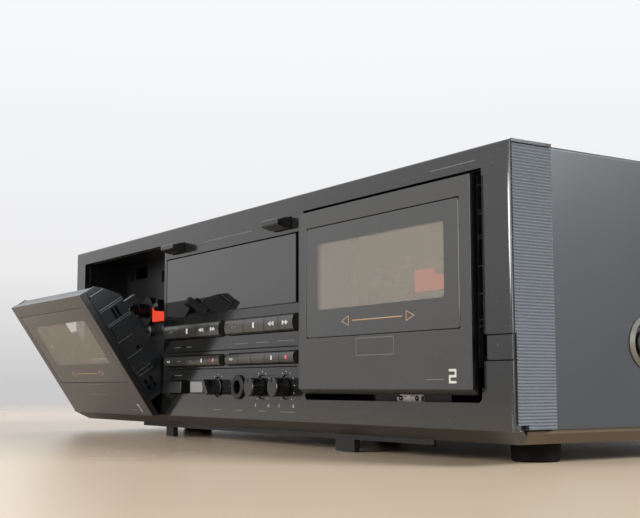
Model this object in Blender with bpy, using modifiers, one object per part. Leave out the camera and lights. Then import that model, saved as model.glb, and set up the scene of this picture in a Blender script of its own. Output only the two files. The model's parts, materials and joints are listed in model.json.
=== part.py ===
"""Twin cassette deck, built as separate named pieces. Metres, +Z up, front facing -Y.

Sizes are named once. Shapes are drawn in the front panel's own frame: x from its middle,
y back from its front face, z up from the lower edge of that face. frame() moves them to
the model's frame, whose origin is on the floor under the middle of the whole object.
"""
import math

import bmesh
import bpy
from mathutils import Matrix, Vector

COLLECTION = "cassette_deck"
CUTTER_COLLECTION = "cassette_deck_cutters"

# general clearances and small sizes
CLEAR = 0.0003            # gap between pieces that rest on or in each other
RUN_CLEAR = 0.0004        # gap round a piece that slides or turns
OVERRUN = 0.004           # how far a cutter runs past what it cuts
BITE = 0.0006             # how far joined shapes reach into each other
EDGE = 0.0004             # broken edge on moulded pieces
ROUND_STEPS = 32
SMALL_STEPS = 20
MERGE = 0.00001
SMOOTH_ANGLE = math.radians(35.0)
FLAT_ANGLE = math.radians(0.1)

# compact cassette, which sets the doors and with them the front's height
CASSETTE_WIDTH = 0.1004
CASSETTE_HEIGHT = 0.0638
CASSETTE_THICK = 0.0121
CASSETTE_CLEAR = 0.0004
CASSETTE_FOOT_Z = 0.0304
HUB_SPACING = 0.0425
HUB_RISE = 0.0346         # hubs' axes above the foot of the cassette

# case
CASE_WIDTH = 0.430
CASE_DEPTH = 0.2776
CHIN_DROP = 0.0052        # height of the bevel below the front face
CHIN_DEPTH = 0.009
CHIN_WALL = 0.0026
FOOT_HEIGHT = 0.0075

# front panel
PANEL_WALL = 0.003
PANEL_LIP_DEPTH = 0.0212
PANEL_LIP_WALL = 0.0022
PANEL_CORNER = 0.0014
PANEL_SIDE_WALL = 0.0025
PANEL_RIM = 0.0010
CHIN_SIDE_RUN = 0.006     # how far the ends of the bevel lean in
STILE_WIDTH = 0.0155      # panel left outside each well
TRIM_THICK = 0.002
TRIM_LIP = 0.0012         # of the panel over each trim
TRIM_FRONT = 0.0014
TRIM_FOOT_Z = 0.0004
TRIM_PITCH = 0.00117
TRIM_FLUTE = 0.00045
TRIM_NOTCH_DEPTH = 0.0059
TRIM_NOTCH_HEIGHT = 0.0018
TRIM_STEP = 0.0007        # the lower part of the trim starts further back

# sheet metal
COVER_SHEET = 0.001
COVER_BEND = 0.0015
COVER_SIDE_INSET = 0.002  # the cover's sides lie this far inside the trims' faces
TRAY_SHEET = 0.0012
TRAY_SLOPE_RISE = 0.004
TRAY_SLOPE_RUN = 0.0044
TRAY_FLANGE = 0.0132
REAR_SHEET = 0.0012
REAR_INSET = 0.0004
VENT_COUNT = 12
VENT_LENGTH = 0.042
VENT_WIDTH = 0.003
VENT_PITCH = 0.0075
VENT_ROW_GAP = 0.012
VENT_REAR_MARGIN = 0.060

# front rail under the tray and its two legs
RAIL_LEFT_INSET = 0.0936  # from the case's left side
RAIL_RIGHT_INSET = 0.057  # from the case's right side
RAIL_DROP = 0.0021
RAIL_THICK = 0.0012
LEG_LEFT_INSET = 0.0364   # from the rail's left end
LEG_RIGHT_INSET = 0.063   # from the rail's right end
LEG_LEFT_WIDTH = 0.0094
LEG_RIGHT_WIDTH = 0.015
LEG_DEPTH = 0.003
LEG_FLOOR_GAP = 0.0004

# feet
FOOT_RADIUS = 0.0098
FOOT_BASE_RADIUS = 0.0094
FOOT_CHAMFER = 0.0005
FOOT_SIDE_INSET = 0.027
FOOT_FRONT_RIGHT_Y = 0.036
FOOT_FRONT_LEFT_Y = 0.080
FOOT_REAR_INSET = 0.0326

# wells in the front panel
WELL_BOTTOM_Z = 0.010
WELL_TOP_MARGIN = 0.0086
WELL_STEP_RISE = 0.0054
WELL_STEP = 0.0014
WELL_CORNER = 0.0015

# doors
DOOR_INNER_GAP = 0.0015
DOOR_OUTER_GAP = 0.0026
DOOR_SIDE_MARGIN = 0.010  # door beyond each end of the cassette
DOOR_TOP_MARGIN = 0.0013  # door above the cassette
DOOR_PROUD = 0.0035
DOOR_TOP_GAP = 0.0021
DOOR_BOTTOM_GAP = 0.0028
DOOR_BEVEL_HEIGHT = 0.0021
DOOR_BEVEL_DEPTH = 0.0032
DOOR_OPEN_ANGLE = math.radians(34.0)
HINGE_Y = 0.0206
HINGE_Z = 0.004
PANE_SIDE_MARGIN = 0.0069
PANE_BOTTOM_SHARE = 0.3035
PANE_HEIGHT_SHARE = 0.5998
PANE_THICK = 0.0012
PANE_RECESS = 0.0001
PANE_LEDGE_SIDE = 0.0076
PANE_LEDGE_BOTTOM = 0.0110
PANE_LEDGE_TOP = 0.0065

# cassette holder, from the door's back face
HOLDER_SIDE_INSET = 0.0003
HOLDER_SIDE_WALL = 0.0018
HOLDER_SIDE_SETBACK = 0.0015   # the side walls end this far before the cassette's back
HOLDER_SHOULDER_SHARE = 0.6467
HOLDER_SLOPE_SHARE = 0.8172
HOLDER_BREAK_SHARE = 0.9355
HOLDER_BREAK_Y = 0.011
HOLDER_TOP_DEPTH = 0.0065
HOLDER_FOOT_DROP = 0.0076
HOLDER_FRONT_FOOT_DEPTH = 0.0098
HOLDER_WALL = 0.0014
HOLDER_GUIDE_Y = 0.0048
HOLDER_FLANGE = 0.0016
HOLDER_LEDGE = 0.0016
LEDGE_REACH = 0.0202
LUG_RADIUS = 0.0045
PIN_RADIUS = 0.002
PIN_LENGTH = 0.003
PIN_CLEAR = 0.0003
RIB_PROUD = 0.0006
CATCH_THICK = 0.004
CATCH_HEIGHT = 0.0048
CATCH_ROOT = 0.003        # bite of each catch into the holder's side
CATCH_REACH = 0.0078      # how far it stands out behind
RIB_WIDTH = 0.0008
RIB_REACH = 0.0117
RIB_TOP_REACH = 0.0102
RIB_HEIGHT_SHARES = (1.0, 0.842, 0.823, 0.685, 0.667, 0.497, 0.327, 0.166, 0.128)
RIB_DEEP_COUNT = 5        # this many of the upper ribs run to the back, but for the first
CASSETTE_LIP_WIDTH = 0.007
CASSETTE_LIP_RISE = 0.0316

# tape mechanism in each well
FRAME_WALL = 0.0018
FRAME_SIDE_CLEAR = 0.0012
FRAME_PLATE_GAP = 0.0113  # plate behind the cassette
FRAME_PLATE = 0.002
FRAME_TOP_DROP = 0.0070
SPINDLE_DISC_RADIUS = 0.009
SPINDLE_DISC = 0.003
SPINDLE_HUB_RADIUS = 0.0045
SPINDLE_HUB_LENGTH = 0.0066
SPINDLE_TIP_RADIUS = 0.0029
SPINDLE_TIP_LENGTH = 0.008
SPINDLE_SHAFT_RADIUS = 0.003
SPINDLE_FIN_RADIUS = 0.0043
SPINDLE_FIN_THICK = 0.001
SPINDLE_FIN_SHARE = 0.75
IDLER_HALF_WIDTH = 0.0118
IDLER_DROP = 0.008        # underside below the hubs' axes
IDLER_HEIGHT = 0.010
IDLER_DEPTH = 0.0037
IDLER_CORNER = 0.003
SENSOR_SLOT_WIDTH = 0.018
SENSOR_SLOT_HEIGHT = 0.008
SENSOR_SLOT_DROP = 0.0117
SENSOR_SLOT_X = 0.038
HEAD_BASE_HALF_WIDTH = 0.026
HEAD_BASE_SETBACK = 0.015 # front of the carriage before the plate
HEAD_BASE_BOTTOM_Z = 0.008
HEAD_BASE_TOP_Z = 0.020
HEAD_HALF_WIDTH = 0.0065
HEAD_DEPTH = 0.006
HEAD_RISE = 0.006
ROLLER_RADIUS = 0.0050
ROLLER_LENGTH = 0.006
ROLLER_X = 0.0185
BRACKET_HALF_WIDTH = 0.0082
BRACKET_FOOT = 0.0016
BRACKET_RISE = 0.0020     # foot of the bracket above the carriage's underside
BRACKET_PROUD = 0.0015
POST_HALF_WIDTH = 0.0014

# display window
DISPLAY_MARGIN = 0.0028   # panel left beside the opening
DISPLAY_BOTTOM_SHARE = 0.5170
DISPLAY_HEIGHT_SHARE = 0.3183
DISPLAY_THICK = 0.0020
DISPLAY_BACK = 0.0010
DISPLAY_RECESS = 0.0002
DISPLAY_EDGE_GAP = 0.0005
DISPLAY_RIGHT_GAP = 0.0043

# keys
KEY_GAP = 0.0004
KEY_BACK_Y = 0.0062
KEY_BULGE = 0.0010
KEY_SHOULDER = 0.0009
KEY_PROUD = 0.0022
KEY_CURVE_SHARES = (0.8, 0.4, 0.0, -0.4, -0.8)
KEY_ROW_MARGIN = 0.0058
KEY_ROW_GAP_A = 0.0025
KEY_ROW_GAP_B = 0.0038
TRANSPORT_WORDS = ("play", "stop", "rewind", "forward")
TRANSPORT_WIDTH_SHARES = (0.2954, 0.3058, 0.2009, 0.1979)
TRANSPORT_SLOT_SHARE = 0.3936
TRANSPORT_SLOT_HEIGHT = 0.0086
MODE_SLOT_SHARE = 0.2505
MODE_SLOT_HEIGHT = 0.0064
MODE_KEY_COUNT = 5
MODE_KEY_PROUD = 0.0018
GROOVE_DEPTH = 0.0009
GROOVE_HEIGHT = 0.0007
GROOVE_MARGIN = 0.0048
GROOVE_UPPER_SHARE = 0.3258
GROOVE_LOWER_SHARE = 0.2370
STILE_NOTCH = 0.0018

# eject tabs
TAB_MARGIN = 0.0107
TAB_WIDTH = 0.0153
TAB_HEIGHT = 0.0053
TAB_DROP = 0.010          # top of the tab below the top of the case
TAB_PROUD = 0.0079
TAB_NOSE_PROUD = 0.0026
TAB_NOSE_BOTTOM = 0.0014
TAB_NOSE_TOP = 0.0009
TAB_BACK_Y = 0.0048

# lower row
POWER_LEFT_SHARE = -0.8667
POWER_WIDTH_SHARE = 0.2933
POWER_HEIGHT = 0.0074
POWER_PROUD = 0.0046
TIMER_LEFT_SHARE = -0.5080
TIMER_WIDTH_SHARE = 0.1880
TIMER_HEIGHT = 0.0068
TIMER_PROUD = 0.0014
BUTTON_BACK_Y = 0.0060
CONTROL_Z_SHARE = 0.1488
KNOB_PROUD = 0.0080
KNOB_HOLE_SHARE = 0.080   # holes' radius, of the middle's half width
KNOB_SHARE = 0.75         # knobs' radii, of their holes' radius
KNOB_FACE_SHARE = 0.70
KNOB_SHAFT_SHARE = 0.50
KNOB_SKIRT_Y = 0.0006
KNOB_BACK_Y = 0.0070
KNOB_NOTCH_WIDTH = 0.0008
KNOB_NOTCH_DEPTH = 0.0006
KNOB_NOTCH_LENGTH = 0.0022
BIAS_SHARE = 0.500
LEVEL_SHARE = 0.800
REDUCTION_SHARE = -0.1093
REDUCTION_HOLE_SHARE = 0.90
REDUCTION_HUB_SHARE = 0.7333
REDUCTION_HUB_PROUD = 0.0010
REDUCTION_BAR_SHARES = (1.3667, 0.3667)    # length and thickness
REDUCTION_REST_ANGLE = math.radians(-36.0)
JACK_SHARE = 0.1893
JACK_HOLE_RADIUS = 0.0052
JACK_RING_RADIUS = 0.0062
JACK_RING_PROUD = 0.0014
JACK_BORE_RADIUS = 0.0032
JACK_BACK_Y = 0.0150
JACK_BORE_DEPTH = 0.0130

# rear connections and what lies inside
SOCKET_HOLE_CLEAR = 0.0003
SOCKET_RADIUS = 0.0042
SOCKET_PITCH = 0.014
SOCKET_SIDE_INSET = 0.085
SOCKET_CENTRE_Z = 0.046
SOCKET_LENGTH = 0.0085
SOCKET_BLOCK_MARGIN = 0.0048   # block beyond the outermost barrels
SOCKET_BLOCK_DEPTH = 0.012
INLET_SIDE_INSET = 0.055
INLET_Z = 0.030
INLET_HALF_WIDTH = 0.0105
INLET_HALF_HEIGHT = 0.0060
INLET_DEPTH = 0.016
INLET_FLANGE = 0.0018
INLET_FLANGE_MARGIN = 0.0025
INLET_WALL = 0.0012
INLET_CAVITY_DEPTH = 0.012
INLET_PIN_RADIUS = 0.0011
INLET_PIN_SPACING = 0.0086
BOARD_LEFT_INSET = 0.110
BOARD_RIGHT_INSET = 0.025
BOARD_FRONT_Y = 0.070
BOARD_REAR_INSET = 0.0226
BOARD_THICK = 0.0016
BOARD_HOLE_INSET = 0.007
BOSS_RADIUS = 0.003
BOSS_HEIGHT = 0.0075
CORE_SIDE_INSET = 0.019
CORE_WIDTH = 0.066
CORE_REAR_INSET = 0.0716
CORE_DEPTH = 0.056
CORE_HEIGHT = 0.052
COIL_MARGIN = 0.010
COIL_PROUD = 0.012

# cover screws, one low on each side
SCREW_Y = 0.0738
SCREW_Z = 0.033
SCREW_CUP_RADIUS = 0.011
SCREW_CUP_RIM = 0.0098
SCREW_CUP_RISE = 0.0016
SCREW_CUP_FLOOR = 0.0019   # how deep the cup's floor lies inside the cover's face
SCREW_CUP_THROAT = 0.0068
SCREW_CUP_BODY = 0.0092
SCREW_CUP_WALL = 0.0009
SCREW_HEAD_RADIUS = 0.0056
SCREW_HEAD = 0.0016
SCREW_SLOT_WIDTH = 0.0012
SCREW_SHANK_RADIUS = 0.0018
SCREW_SHANK = 0.004
SCREW_HOLE_CLEAR = 0.0004

# what follows from the sizes above
HALF_WIDTH = CASE_WIDTH / 2
FACE_Z = FOOT_HEIGHT + CLEAR + CHIN_DROP
FLOOR_Z = -FACE_Z
DOOR_WIDTH = CASSETTE_WIDTH + 2 * DOOR_SIDE_MARGIN
DOOR_TOP_Z = CASSETTE_FOOT_Z + CASSETTE_HEIGHT + DOOR_TOP_MARGIN
DOOR_BOTTOM_Z = WELL_BOTTOM_Z + DOOR_BOTTOM_GAP
WELL_WIDTH = DOOR_WIDTH + DOOR_INNER_GAP + DOOR_OUTER_GAP
WELL_INNER_X = HALF_WIDTH - STILE_WIDTH - WELL_WIDTH
WELL_TOP_Z = DOOR_TOP_Z + DOOR_TOP_GAP
WELL_STEP_Z = WELL_BOTTOM_Z + WELL_STEP_RISE
TOP_Z = WELL_TOP_Z + WELL_TOP_MARGIN
DOOR_CENTRE_X = WELL_INNER_X + DOOR_INNER_GAP + DOOR_WIDTH / 2
PANE_BOTTOM_Z = DOOR_BOTTOM_Z + (DOOR_TOP_Z - DOOR_BOTTOM_Z) * PANE_BOTTOM_SHARE
PANE_HEIGHT = (DOOR_TOP_Z - DOOR_BOTTOM_Z) * PANE_HEIGHT_SHARE
CASSETTE_BACK_Y = HOLDER_GUIDE_Y + HOLDER_WALL + CASSETTE_THICK + CASSETTE_CLEAR
HOLDER_RISE = DOOR_TOP_Z - CASSETTE_FOOT_Z
HOLDER_DEPTH = CASSETTE_BACK_Y - HOLDER_SIDE_SETBACK
HOLDER_SHOULDER_Z = CASSETTE_FOOT_Z + HOLDER_RISE * HOLDER_SHOULDER_SHARE
HOLDER_SLOPE_Z = CASSETTE_FOOT_Z + HOLDER_RISE * HOLDER_SLOPE_SHARE
HOLDER_BREAK_Z = CASSETTE_FOOT_Z + HOLDER_RISE * HOLDER_BREAK_SHARE
HOLDER_FOOT_Z = CASSETTE_FOOT_Z - HOLDER_FOOT_DROP
FRAME_PLATE_Y = CASSETTE_BACK_Y + FRAME_PLATE_GAP
FRAME_TOP_Z = TOP_Z - FRAME_TOP_DROP
HUB_Z = CASSETTE_FOOT_Z + HUB_RISE
HEAD_BASE_FRONT_Y = FRAME_PLATE_Y - HEAD_BASE_SETBACK
DISPLAY_HALF_WIDTH = WELL_INNER_X - DISPLAY_MARGIN
DISPLAY_BOTTOM_Z = TOP_Z * DISPLAY_BOTTOM_SHARE
DISPLAY_TOP_Z = DISPLAY_BOTTOM_Z + TOP_Z * DISPLAY_HEIGHT_SHARE
KEY_ROW_WIDTH = WELL_INNER_X - KEY_ROW_MARGIN - KEY_ROW_GAP_A
KEY_ROWS = (("a", KEY_ROW_MARGIN - WELL_INNER_X), ("b", KEY_ROW_GAP_B))
TRANSPORT_SLOT_Z = TOP_Z * TRANSPORT_SLOT_SHARE
MODE_SLOT_Z = TOP_Z * MODE_SLOT_SHARE
GROOVE_UPPER_Z = TOP_Z * GROOVE_UPPER_SHARE
GROOVE_LOWER_Z = TOP_Z * GROOVE_LOWER_SHARE
TAB_INNER_X = WELL_INNER_X - TAB_MARGIN - TAB_WIDTH
TAB_TOP_Z = TOP_Z - TAB_DROP
TAB_BOTTOM_Z = TAB_TOP_Z - TAB_HEIGHT
KNOB_Z = TOP_Z * CONTROL_Z_SHARE
POWER_LEFT_X = WELL_INNER_X * POWER_LEFT_SHARE
POWER_WIDTH = WELL_INNER_X * POWER_WIDTH_SHARE
POWER_BOTTOM_Z = KNOB_Z - POWER_HEIGHT / 2
TIMER_LEFT_X = WELL_INNER_X * TIMER_LEFT_SHARE
TIMER_WIDTH = WELL_INNER_X * TIMER_WIDTH_SHARE
TIMER_BOTTOM_Z = KNOB_Z - TIMER_HEIGHT / 2
KNOB_HOLE_RADIUS = WELL_INNER_X * KNOB_HOLE_SHARE
KNOB_RADIUS = KNOB_HOLE_RADIUS * KNOB_SHARE
KNOB_FACE_RADIUS = KNOB_HOLE_RADIUS * KNOB_FACE_SHARE
KNOB_SHAFT_RADIUS = KNOB_HOLE_RADIUS * KNOB_SHAFT_SHARE
REDUCTION_HOLE_RADIUS = KNOB_HOLE_RADIUS * REDUCTION_HOLE_SHARE
REDUCTION_HUB_RADIUS = KNOB_HOLE_RADIUS * REDUCTION_HUB_SHARE
REDUCTION_BAR_LENGTH = KNOB_HOLE_RADIUS * REDUCTION_BAR_SHARES[0]
REDUCTION_BAR_THICK = KNOB_HOLE_RADIUS * REDUCTION_BAR_SHARES[1]
BIAS_X = WELL_INNER_X * BIAS_SHARE
LEVEL_X = WELL_INNER_X * LEVEL_SHARE
REDUCTION_X = WELL_INNER_X * REDUCTION_SHARE
JACK_X = WELL_INNER_X * JACK_SHARE
FOOT_X = HALF_WIDTH - FOOT_SIDE_INSET
FOOT_REAR_Y = CASE_DEPTH - FOOT_REAR_INSET
RAIL_LEFT_X = RAIL_LEFT_INSET - HALF_WIDTH
RAIL_RIGHT_X = HALF_WIDTH - RAIL_RIGHT_INSET
SOCKET_CENTRE_X = HALF_WIDTH - SOCKET_SIDE_INSET
SOCKET_BLOCK_HALF = SOCKET_PITCH / 2 + SOCKET_RADIUS + SOCKET_BLOCK_MARGIN
INLET_X = INLET_SIDE_INSET - HALF_WIDTH
BOARD_LEFT_X = BOARD_LEFT_INSET - HALF_WIDTH
BOARD_RIGHT_X = HALF_WIDTH - BOARD_RIGHT_INSET
BOARD_REAR_Y = CASE_DEPTH - BOARD_REAR_INSET
CORE_LEFT_X = CORE_SIDE_INSET - HALF_WIDTH
CORE_FRONT_Y = CASE_DEPTH - CORE_REAR_INSET - CORE_DEPTH
COVER_HALF = HALF_WIDTH - COVER_SIDE_INSET
TRAY_HALF = COVER_HALF - COVER_SHEET - REAR_INSET
TRAY_FLOOR_Z = -CHIN_DROP + TRAY_SHEET
CHIN_TOP_Z = CHIN_WALL - CHIN_DROP * PANEL_WALL / CHIN_DEPTH    # where the bevel leaves the panel's back
REAR_Y = CASE_DEPTH - REAR_INSET - REAR_SHEET


def swung_y(y, z, angle):
    """y of a point of the closed door once the door has swung open by the angle."""
    return HINGE_Y + (y - HINGE_Y) * math.cos(angle) - (z - HINGE_Z) * math.sin(angle)


FRONT_MOST_Y = swung_y(-DOOR_PROUD, DOOR_TOP_Z, DOOR_OPEN_ANGLE)
REAR_MOST_Y = REAR_Y + REAR_SHEET + SOCKET_LENGTH
FRAME_SHIFT = Vector((0, -(FRONT_MOST_Y + REAR_MOST_Y) / 2, FACE_Z))

ALONG_X = Matrix(((0, 0, 1), (1, 0, 0), (0, 1, 0))).to_4x4()    # outline in y, z
ALONG_Y = Matrix(((1, 0, 0), (0, 0, -1), (0, 1, 0))).to_4x4()   # outline in x, z
OUTLINE_WAYS = {"X": (ALONG_X, Vector((1, 0, 0))), "Y": (ALONG_Y, Vector((0, 1, 0))),
                "Z": (Matrix.Identity(4), Vector((0, 0, 1)))}
TURN_TO_Y = Matrix.Rotation(math.pi / 2, 4, "X")                # own +Z faces the front


def frame(x, y, z):
    """A place in the front panel's frame, moved to the model's frame."""
    return Vector((x, y, z)) + FRAME_SHIFT


def clear_scene():
    for item in list(bpy.data.objects):
        bpy.data.objects.remove(item, do_unlink=True)


def new_collection(name):
    collection = bpy.data.collections.new(name)
    bpy.context.scene.collection.children.link(collection)
    return collection


clear_scene()
PARTS = new_collection(COLLECTION)
CUTTERS = new_collection(CUTTER_COLLECTION)


def material(name, colour, roughness, metallic=0.0, alpha=1.0):
    finish = bpy.data.materials.new(name)
    finish.use_nodes = True
    shader = finish.node_tree.nodes["Principled BSDF"]
    shader.inputs["Base Color"].default_value = (*colour, 1.0)
    shader.inputs["Roughness"].default_value = roughness
    shader.inputs["Metallic"].default_value = metallic
    shader.inputs["Alpha"].default_value = alpha
    finish.diffuse_color = (*colour, alpha)
    return finish


FACIA = ("charcoal_facia", (0.085, 0.083, 0.080), 0.35)
STEEL_PAINT = ("grey_painted_steel", (0.10, 0.105, 0.115), 0.40)
TRIM = ("fluted_grey_trim", (0.20, 0.21, 0.225), 0.45)
BLACK = ("black_moulding", (0.012, 0.012, 0.013), 0.50)
DARK_GREY = ("dark_grey_moulding", (0.035, 0.038, 0.042), 0.50)
SMOKED = ("smoked_acrylic", (0.045, 0.043, 0.040), 0.10)
KEY_GREY = ("key_grey", (0.12, 0.115, 0.108), 0.42)
PALE_GREY = ("pale_grey_button", (0.30, 0.30, 0.30), 0.45)
RED = ("red_moulding", (0.80, 0.07, 0.02), 0.45)
RUBBER = ("black_rubber", (0.008, 0.008, 0.008), 0.75)
BARE_STEEL = ("bare_steel", (0.55, 0.55, 0.55), 0.30, 1.0)
BOARD_GREEN = ("circuit_board", (0.22, 0.13, 0.05), 0.60)


def finish_for(item, spec):
    item.data.materials.clear()
    item.data.materials.append(material(spec[0] + "_" + item.name, *spec[1:]))


def adopt(item, spec):
    """Put an object with the parts, or, without a finish, with the hidden shapers."""
    for collection in list(item.users_collection):
        collection.objects.unlink(item)
    if spec is None:
        CUTTERS.objects.link(item)
        item.hide_render = True
        item.display_type = "WIRE"
    else:
        PARTS.objects.link(item)
        finish_for(item, spec)
    return item


def smooth(item):
    item.data.shade_smooth()
    item.data.set_sharp_from_angle(angle=SMOOTH_ANGLE)
    return item


def object_from(name, shape, spec, place=Matrix.Identity(4)):
    mesh = bpy.data.meshes.new(name)
    shape.to_mesh(mesh)
    shape.free()
    item = bpy.data.objects.new(name, mesh)
    PARTS.objects.link(item)
    item.matrix_world = place
    return adopt(item, spec)


def boxes(name, corners, spec=None, origin=None):
    """One object made of a box for each pair of low and high corners."""
    centre = (Vector(corners[0][0]) + Vector(corners[0][1])) / 2
    base = Vector(origin) if origin else centre
    shape = bmesh.new()
    for low, high in corners:
        size = Vector(high) - Vector(low)
        middle = (Vector(high) + Vector(low)) / 2 - base
        place = Matrix.Translation(middle) @ Matrix.Diagonal(size.to_4d())
        bmesh.ops.create_cube(shape, size=1.0, matrix=place)
    return object_from(name, shape, spec, Matrix.Translation(frame(*base)))


def rods(name, axis, ends, spec=None, steps=SMALL_STEPS):
    """Cylinders along an axis, each given as (low end centre, length, radius)."""
    base = Vector(ends[0][0])
    turn = {"X": Matrix.Rotation(math.pi / 2, 4, "Y"), "Y": TURN_TO_Y, "Z": Matrix.Identity(4)}[axis]
    way = {"X": Vector((1, 0, 0)), "Y": Vector((0, 1, 0)), "Z": Vector((0, 0, 1))}[axis]
    shape = bmesh.new()
    for low, length, radius in ends:
        middle = Vector(low) + way * length / 2 - base
        bmesh.ops.create_cone(shape, cap_ends=True, segments=steps, radius1=radius, radius2=radius,
                              depth=length, matrix=Matrix.Translation(middle) @ turn)
    return object_from(name, shape, spec, Matrix.Translation(frame(*base)))


def mesh_from_curve(item, spec):
    """Turn a curve object into a mesh object with welded caps, in the same place."""
    bpy.context.view_layer.update()
    seen = item.evaluated_get(bpy.context.evaluated_depsgraph_get())
    mesh = bpy.data.meshes.new_from_object(seen)
    shape = bmesh.new()
    shape.from_mesh(mesh)
    bmesh.ops.remove_doubles(shape, verts=shape.verts, dist=MERGE)
    bmesh.ops.dissolve_limit(shape, angle_limit=FLAT_ANGLE, verts=shape.verts, edges=shape.edges)
    bmesh.ops.recalc_face_normals(shape, faces=shape.faces)
    shape.to_mesh(mesh)
    shape.free()
    mesh.shade_flat()
    name = item.name
    place = item.matrix_world.copy()
    bpy.data.objects.remove(item, do_unlink=True)
    solid = bpy.data.objects.new(name, mesh)
    mesh.name = name
    PARTS.objects.link(solid)
    solid.matrix_world = place
    return adopt(solid, spec)


def outline(name, way, points, low, high, spec=None, offset=(0, 0, 0)):
    """A flat outline pushed along an axis from low to high; offset moves it as a whole."""
    curve = bpy.data.curves.new(name, "CURVE")
    curve.dimensions = "2D"
    curve.fill_mode = "BOTH"
    curve.extrude = (high - low) / 2
    spline = curve.splines.new("POLY")
    spline.points.add(len(points) - 1)
    for knot, point in zip(spline.points, points):
        knot.co = (*point, 0, 1)
    spline.use_cyclic_u = True
    item = bpy.data.objects.new(name, curve)
    PARTS.objects.link(item)
    middle = (low + high) / 2
    along, axis = OUTLINE_WAYS[way]
    start = axis * middle
    item.matrix_world = Matrix.Translation(frame(*(start + Vector(offset)))) @ along
    return mesh_from_curve(item, spec)


def turned(name, profile, place, spec=None, steps=ROUND_STEPS, closed=False):
    """A profile of (radius, height) points, outer side from top to bottom, spun about its own Z."""
    shape = bmesh.new()
    knots = [shape.verts.new((radius, 0, height)) for radius, height in profile]
    for first, second in zip(knots, knots[1:]):
        shape.edges.new((first, second))
    if closed:
        shape.edges.new((knots[-1], knots[0]))
    item = object_from(name, shape, spec, place)
    spin = item.modifiers.new("spin", "SCREW")
    spin.axis = "Z"
    spin.steps = steps
    spin.render_steps = steps
    spin.use_merge_vertices = True
    spin.merge_threshold = MERGE
    spin.use_smooth_shade = False
    return item


def boolean(item, tool, operation):
    change = item.modifiers.new(operation.lower(), "BOOLEAN")
    change.operation = operation
    change.solver = "EXACT"
    change.object = tool
    return item


def cut(item, *tools):
    for tool in tools:
        boolean(item, tool, "DIFFERENCE")
    return item


def join(item, *tools):
    for tool in tools:
        boolean(item, tool, "UNION")
    return item


def break_edges(item, width=EDGE, steps=1):
    bevel = item.modifiers.new("broken_edges", "BEVEL")
    bevel.width = width
    bevel.segments = steps
    bevel.limit_method = "ANGLE"
    return item


def arc(centre, radius, start, end, steps):
    """Points of an arc, angles in degrees."""
    points = []
    for step in range(steps + 1):
        angle = math.radians(start + (end - start) * step / steps)
        points.append((centre[0] + radius * math.cos(angle), centre[1] + radius * math.sin(angle)))
    return points


def mirrored(points):
    """A half outline at +x, from bottom to top, closed by its mirror image."""
    return list(points) + [(-x, z) for x, z in reversed(points)]


def facing_front(x, y, z):
    """Place of a turned piece whose own +Z points to the front."""
    return Matrix.Translation(frame(x, y, z)) @ TURN_TO_Y


def row_edges(left, widths):
    """Left and right edge of each key in a row."""
    edges = []
    for width in widths:
        edges.append((left, left + width))
        left += width
    return edges


def build_front_panel():
    corner = arc((PANEL_CORNER, TOP_Z - PANEL_CORNER), PANEL_CORNER, 180, 90, 3)
    section = [(0, 0)] + corner
    section += [(PANEL_LIP_DEPTH, TOP_Z), (PANEL_LIP_DEPTH, TOP_Z - PANEL_LIP_WALL)]
    section += [(PANEL_WALL, TOP_Z - PANEL_LIP_WALL), (PANEL_WALL, CHIN_TOP_Z)]
    section += [(CHIN_DEPTH, CHIN_WALL - CHIN_DROP), (CHIN_DEPTH, -CHIN_DROP)]
    panel = outline("front_panel", "X", section, -HALF_WIDTH, HALF_WIDTH, FACIA)
    side_outer = HALF_WIDTH - TRIM_THICK - CLEAR
    side_low = (side_outer - PANEL_SIDE_WALL, PANEL_WALL - BITE, CLEAR)
    side_high = (side_outer, PANEL_LIP_DEPTH, TOP_Z - PANEL_LIP_WALL + BITE)
    join(panel, boxes("panel_side_walls", mirror_boxes(side_low, side_high)))
    rim_low = (side_outer, PANEL_RIM, CLEAR)
    rim_high = (HALF_WIDTH + OVERRUN, PANEL_LIP_DEPTH + OVERRUN, TOP_Z - TRIM_LIP)
    cut(panel, boxes("trim_pockets", mirror_boxes(rim_low, rim_high)))
    cut(panel, *corner_cutters())
    cut(panel, *chin_end_cutters())
    cut(panel, *facia_cutters())
    return panel


def mirror_boxes(low, high):
    other_low = (-high[0], low[1], low[2])
    other_high = (-low[0], high[1], high[2])
    return [(low, high), (other_low, other_high)]


def corner_cutters():
    """Uprights that round the panel's two upright front edges."""
    round_edge = arc((HALF_WIDTH - PANEL_CORNER, PANEL_CORNER), PANEL_CORNER, 0, -90, 3)
    points = round_edge + [(HALF_WIDTH - PANEL_CORNER, -OVERRUN), (HALF_WIDTH + OVERRUN, -OVERRUN),
                           (HALF_WIDTH + OVERRUN, PANEL_CORNER)]
    other = [(-x, y) for x, y in points]
    low = -CHIN_DROP - OVERRUN
    high = TOP_Z + OVERRUN
    return outline("corner_right", "Z", points, low, high), outline("corner_left", "Z", other, low, high)


def chin_end_cutters():
    """Wedges that lean the ends of the bevel in, as the case sides do."""
    slope = CHIN_SIDE_RUN / CHIN_DROP
    foot_z = -CHIN_DROP - OVERRUN
    foot_x = HALF_WIDTH - slope * (CHIN_DROP + OVERRUN)
    wedge = [(HALF_WIDTH, 0), (foot_x, foot_z), (HALF_WIDTH + OVERRUN, foot_z), (HALF_WIDTH + OVERRUN, 0)]
    other = [(-x, z) for x, z in wedge]
    back = CHIN_DEPTH + OVERRUN
    return (outline("chin_end_right", "Y", wedge, -OVERRUN, back),
            outline("chin_end_left", "Y", other, -OVERRUN, back))


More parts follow.
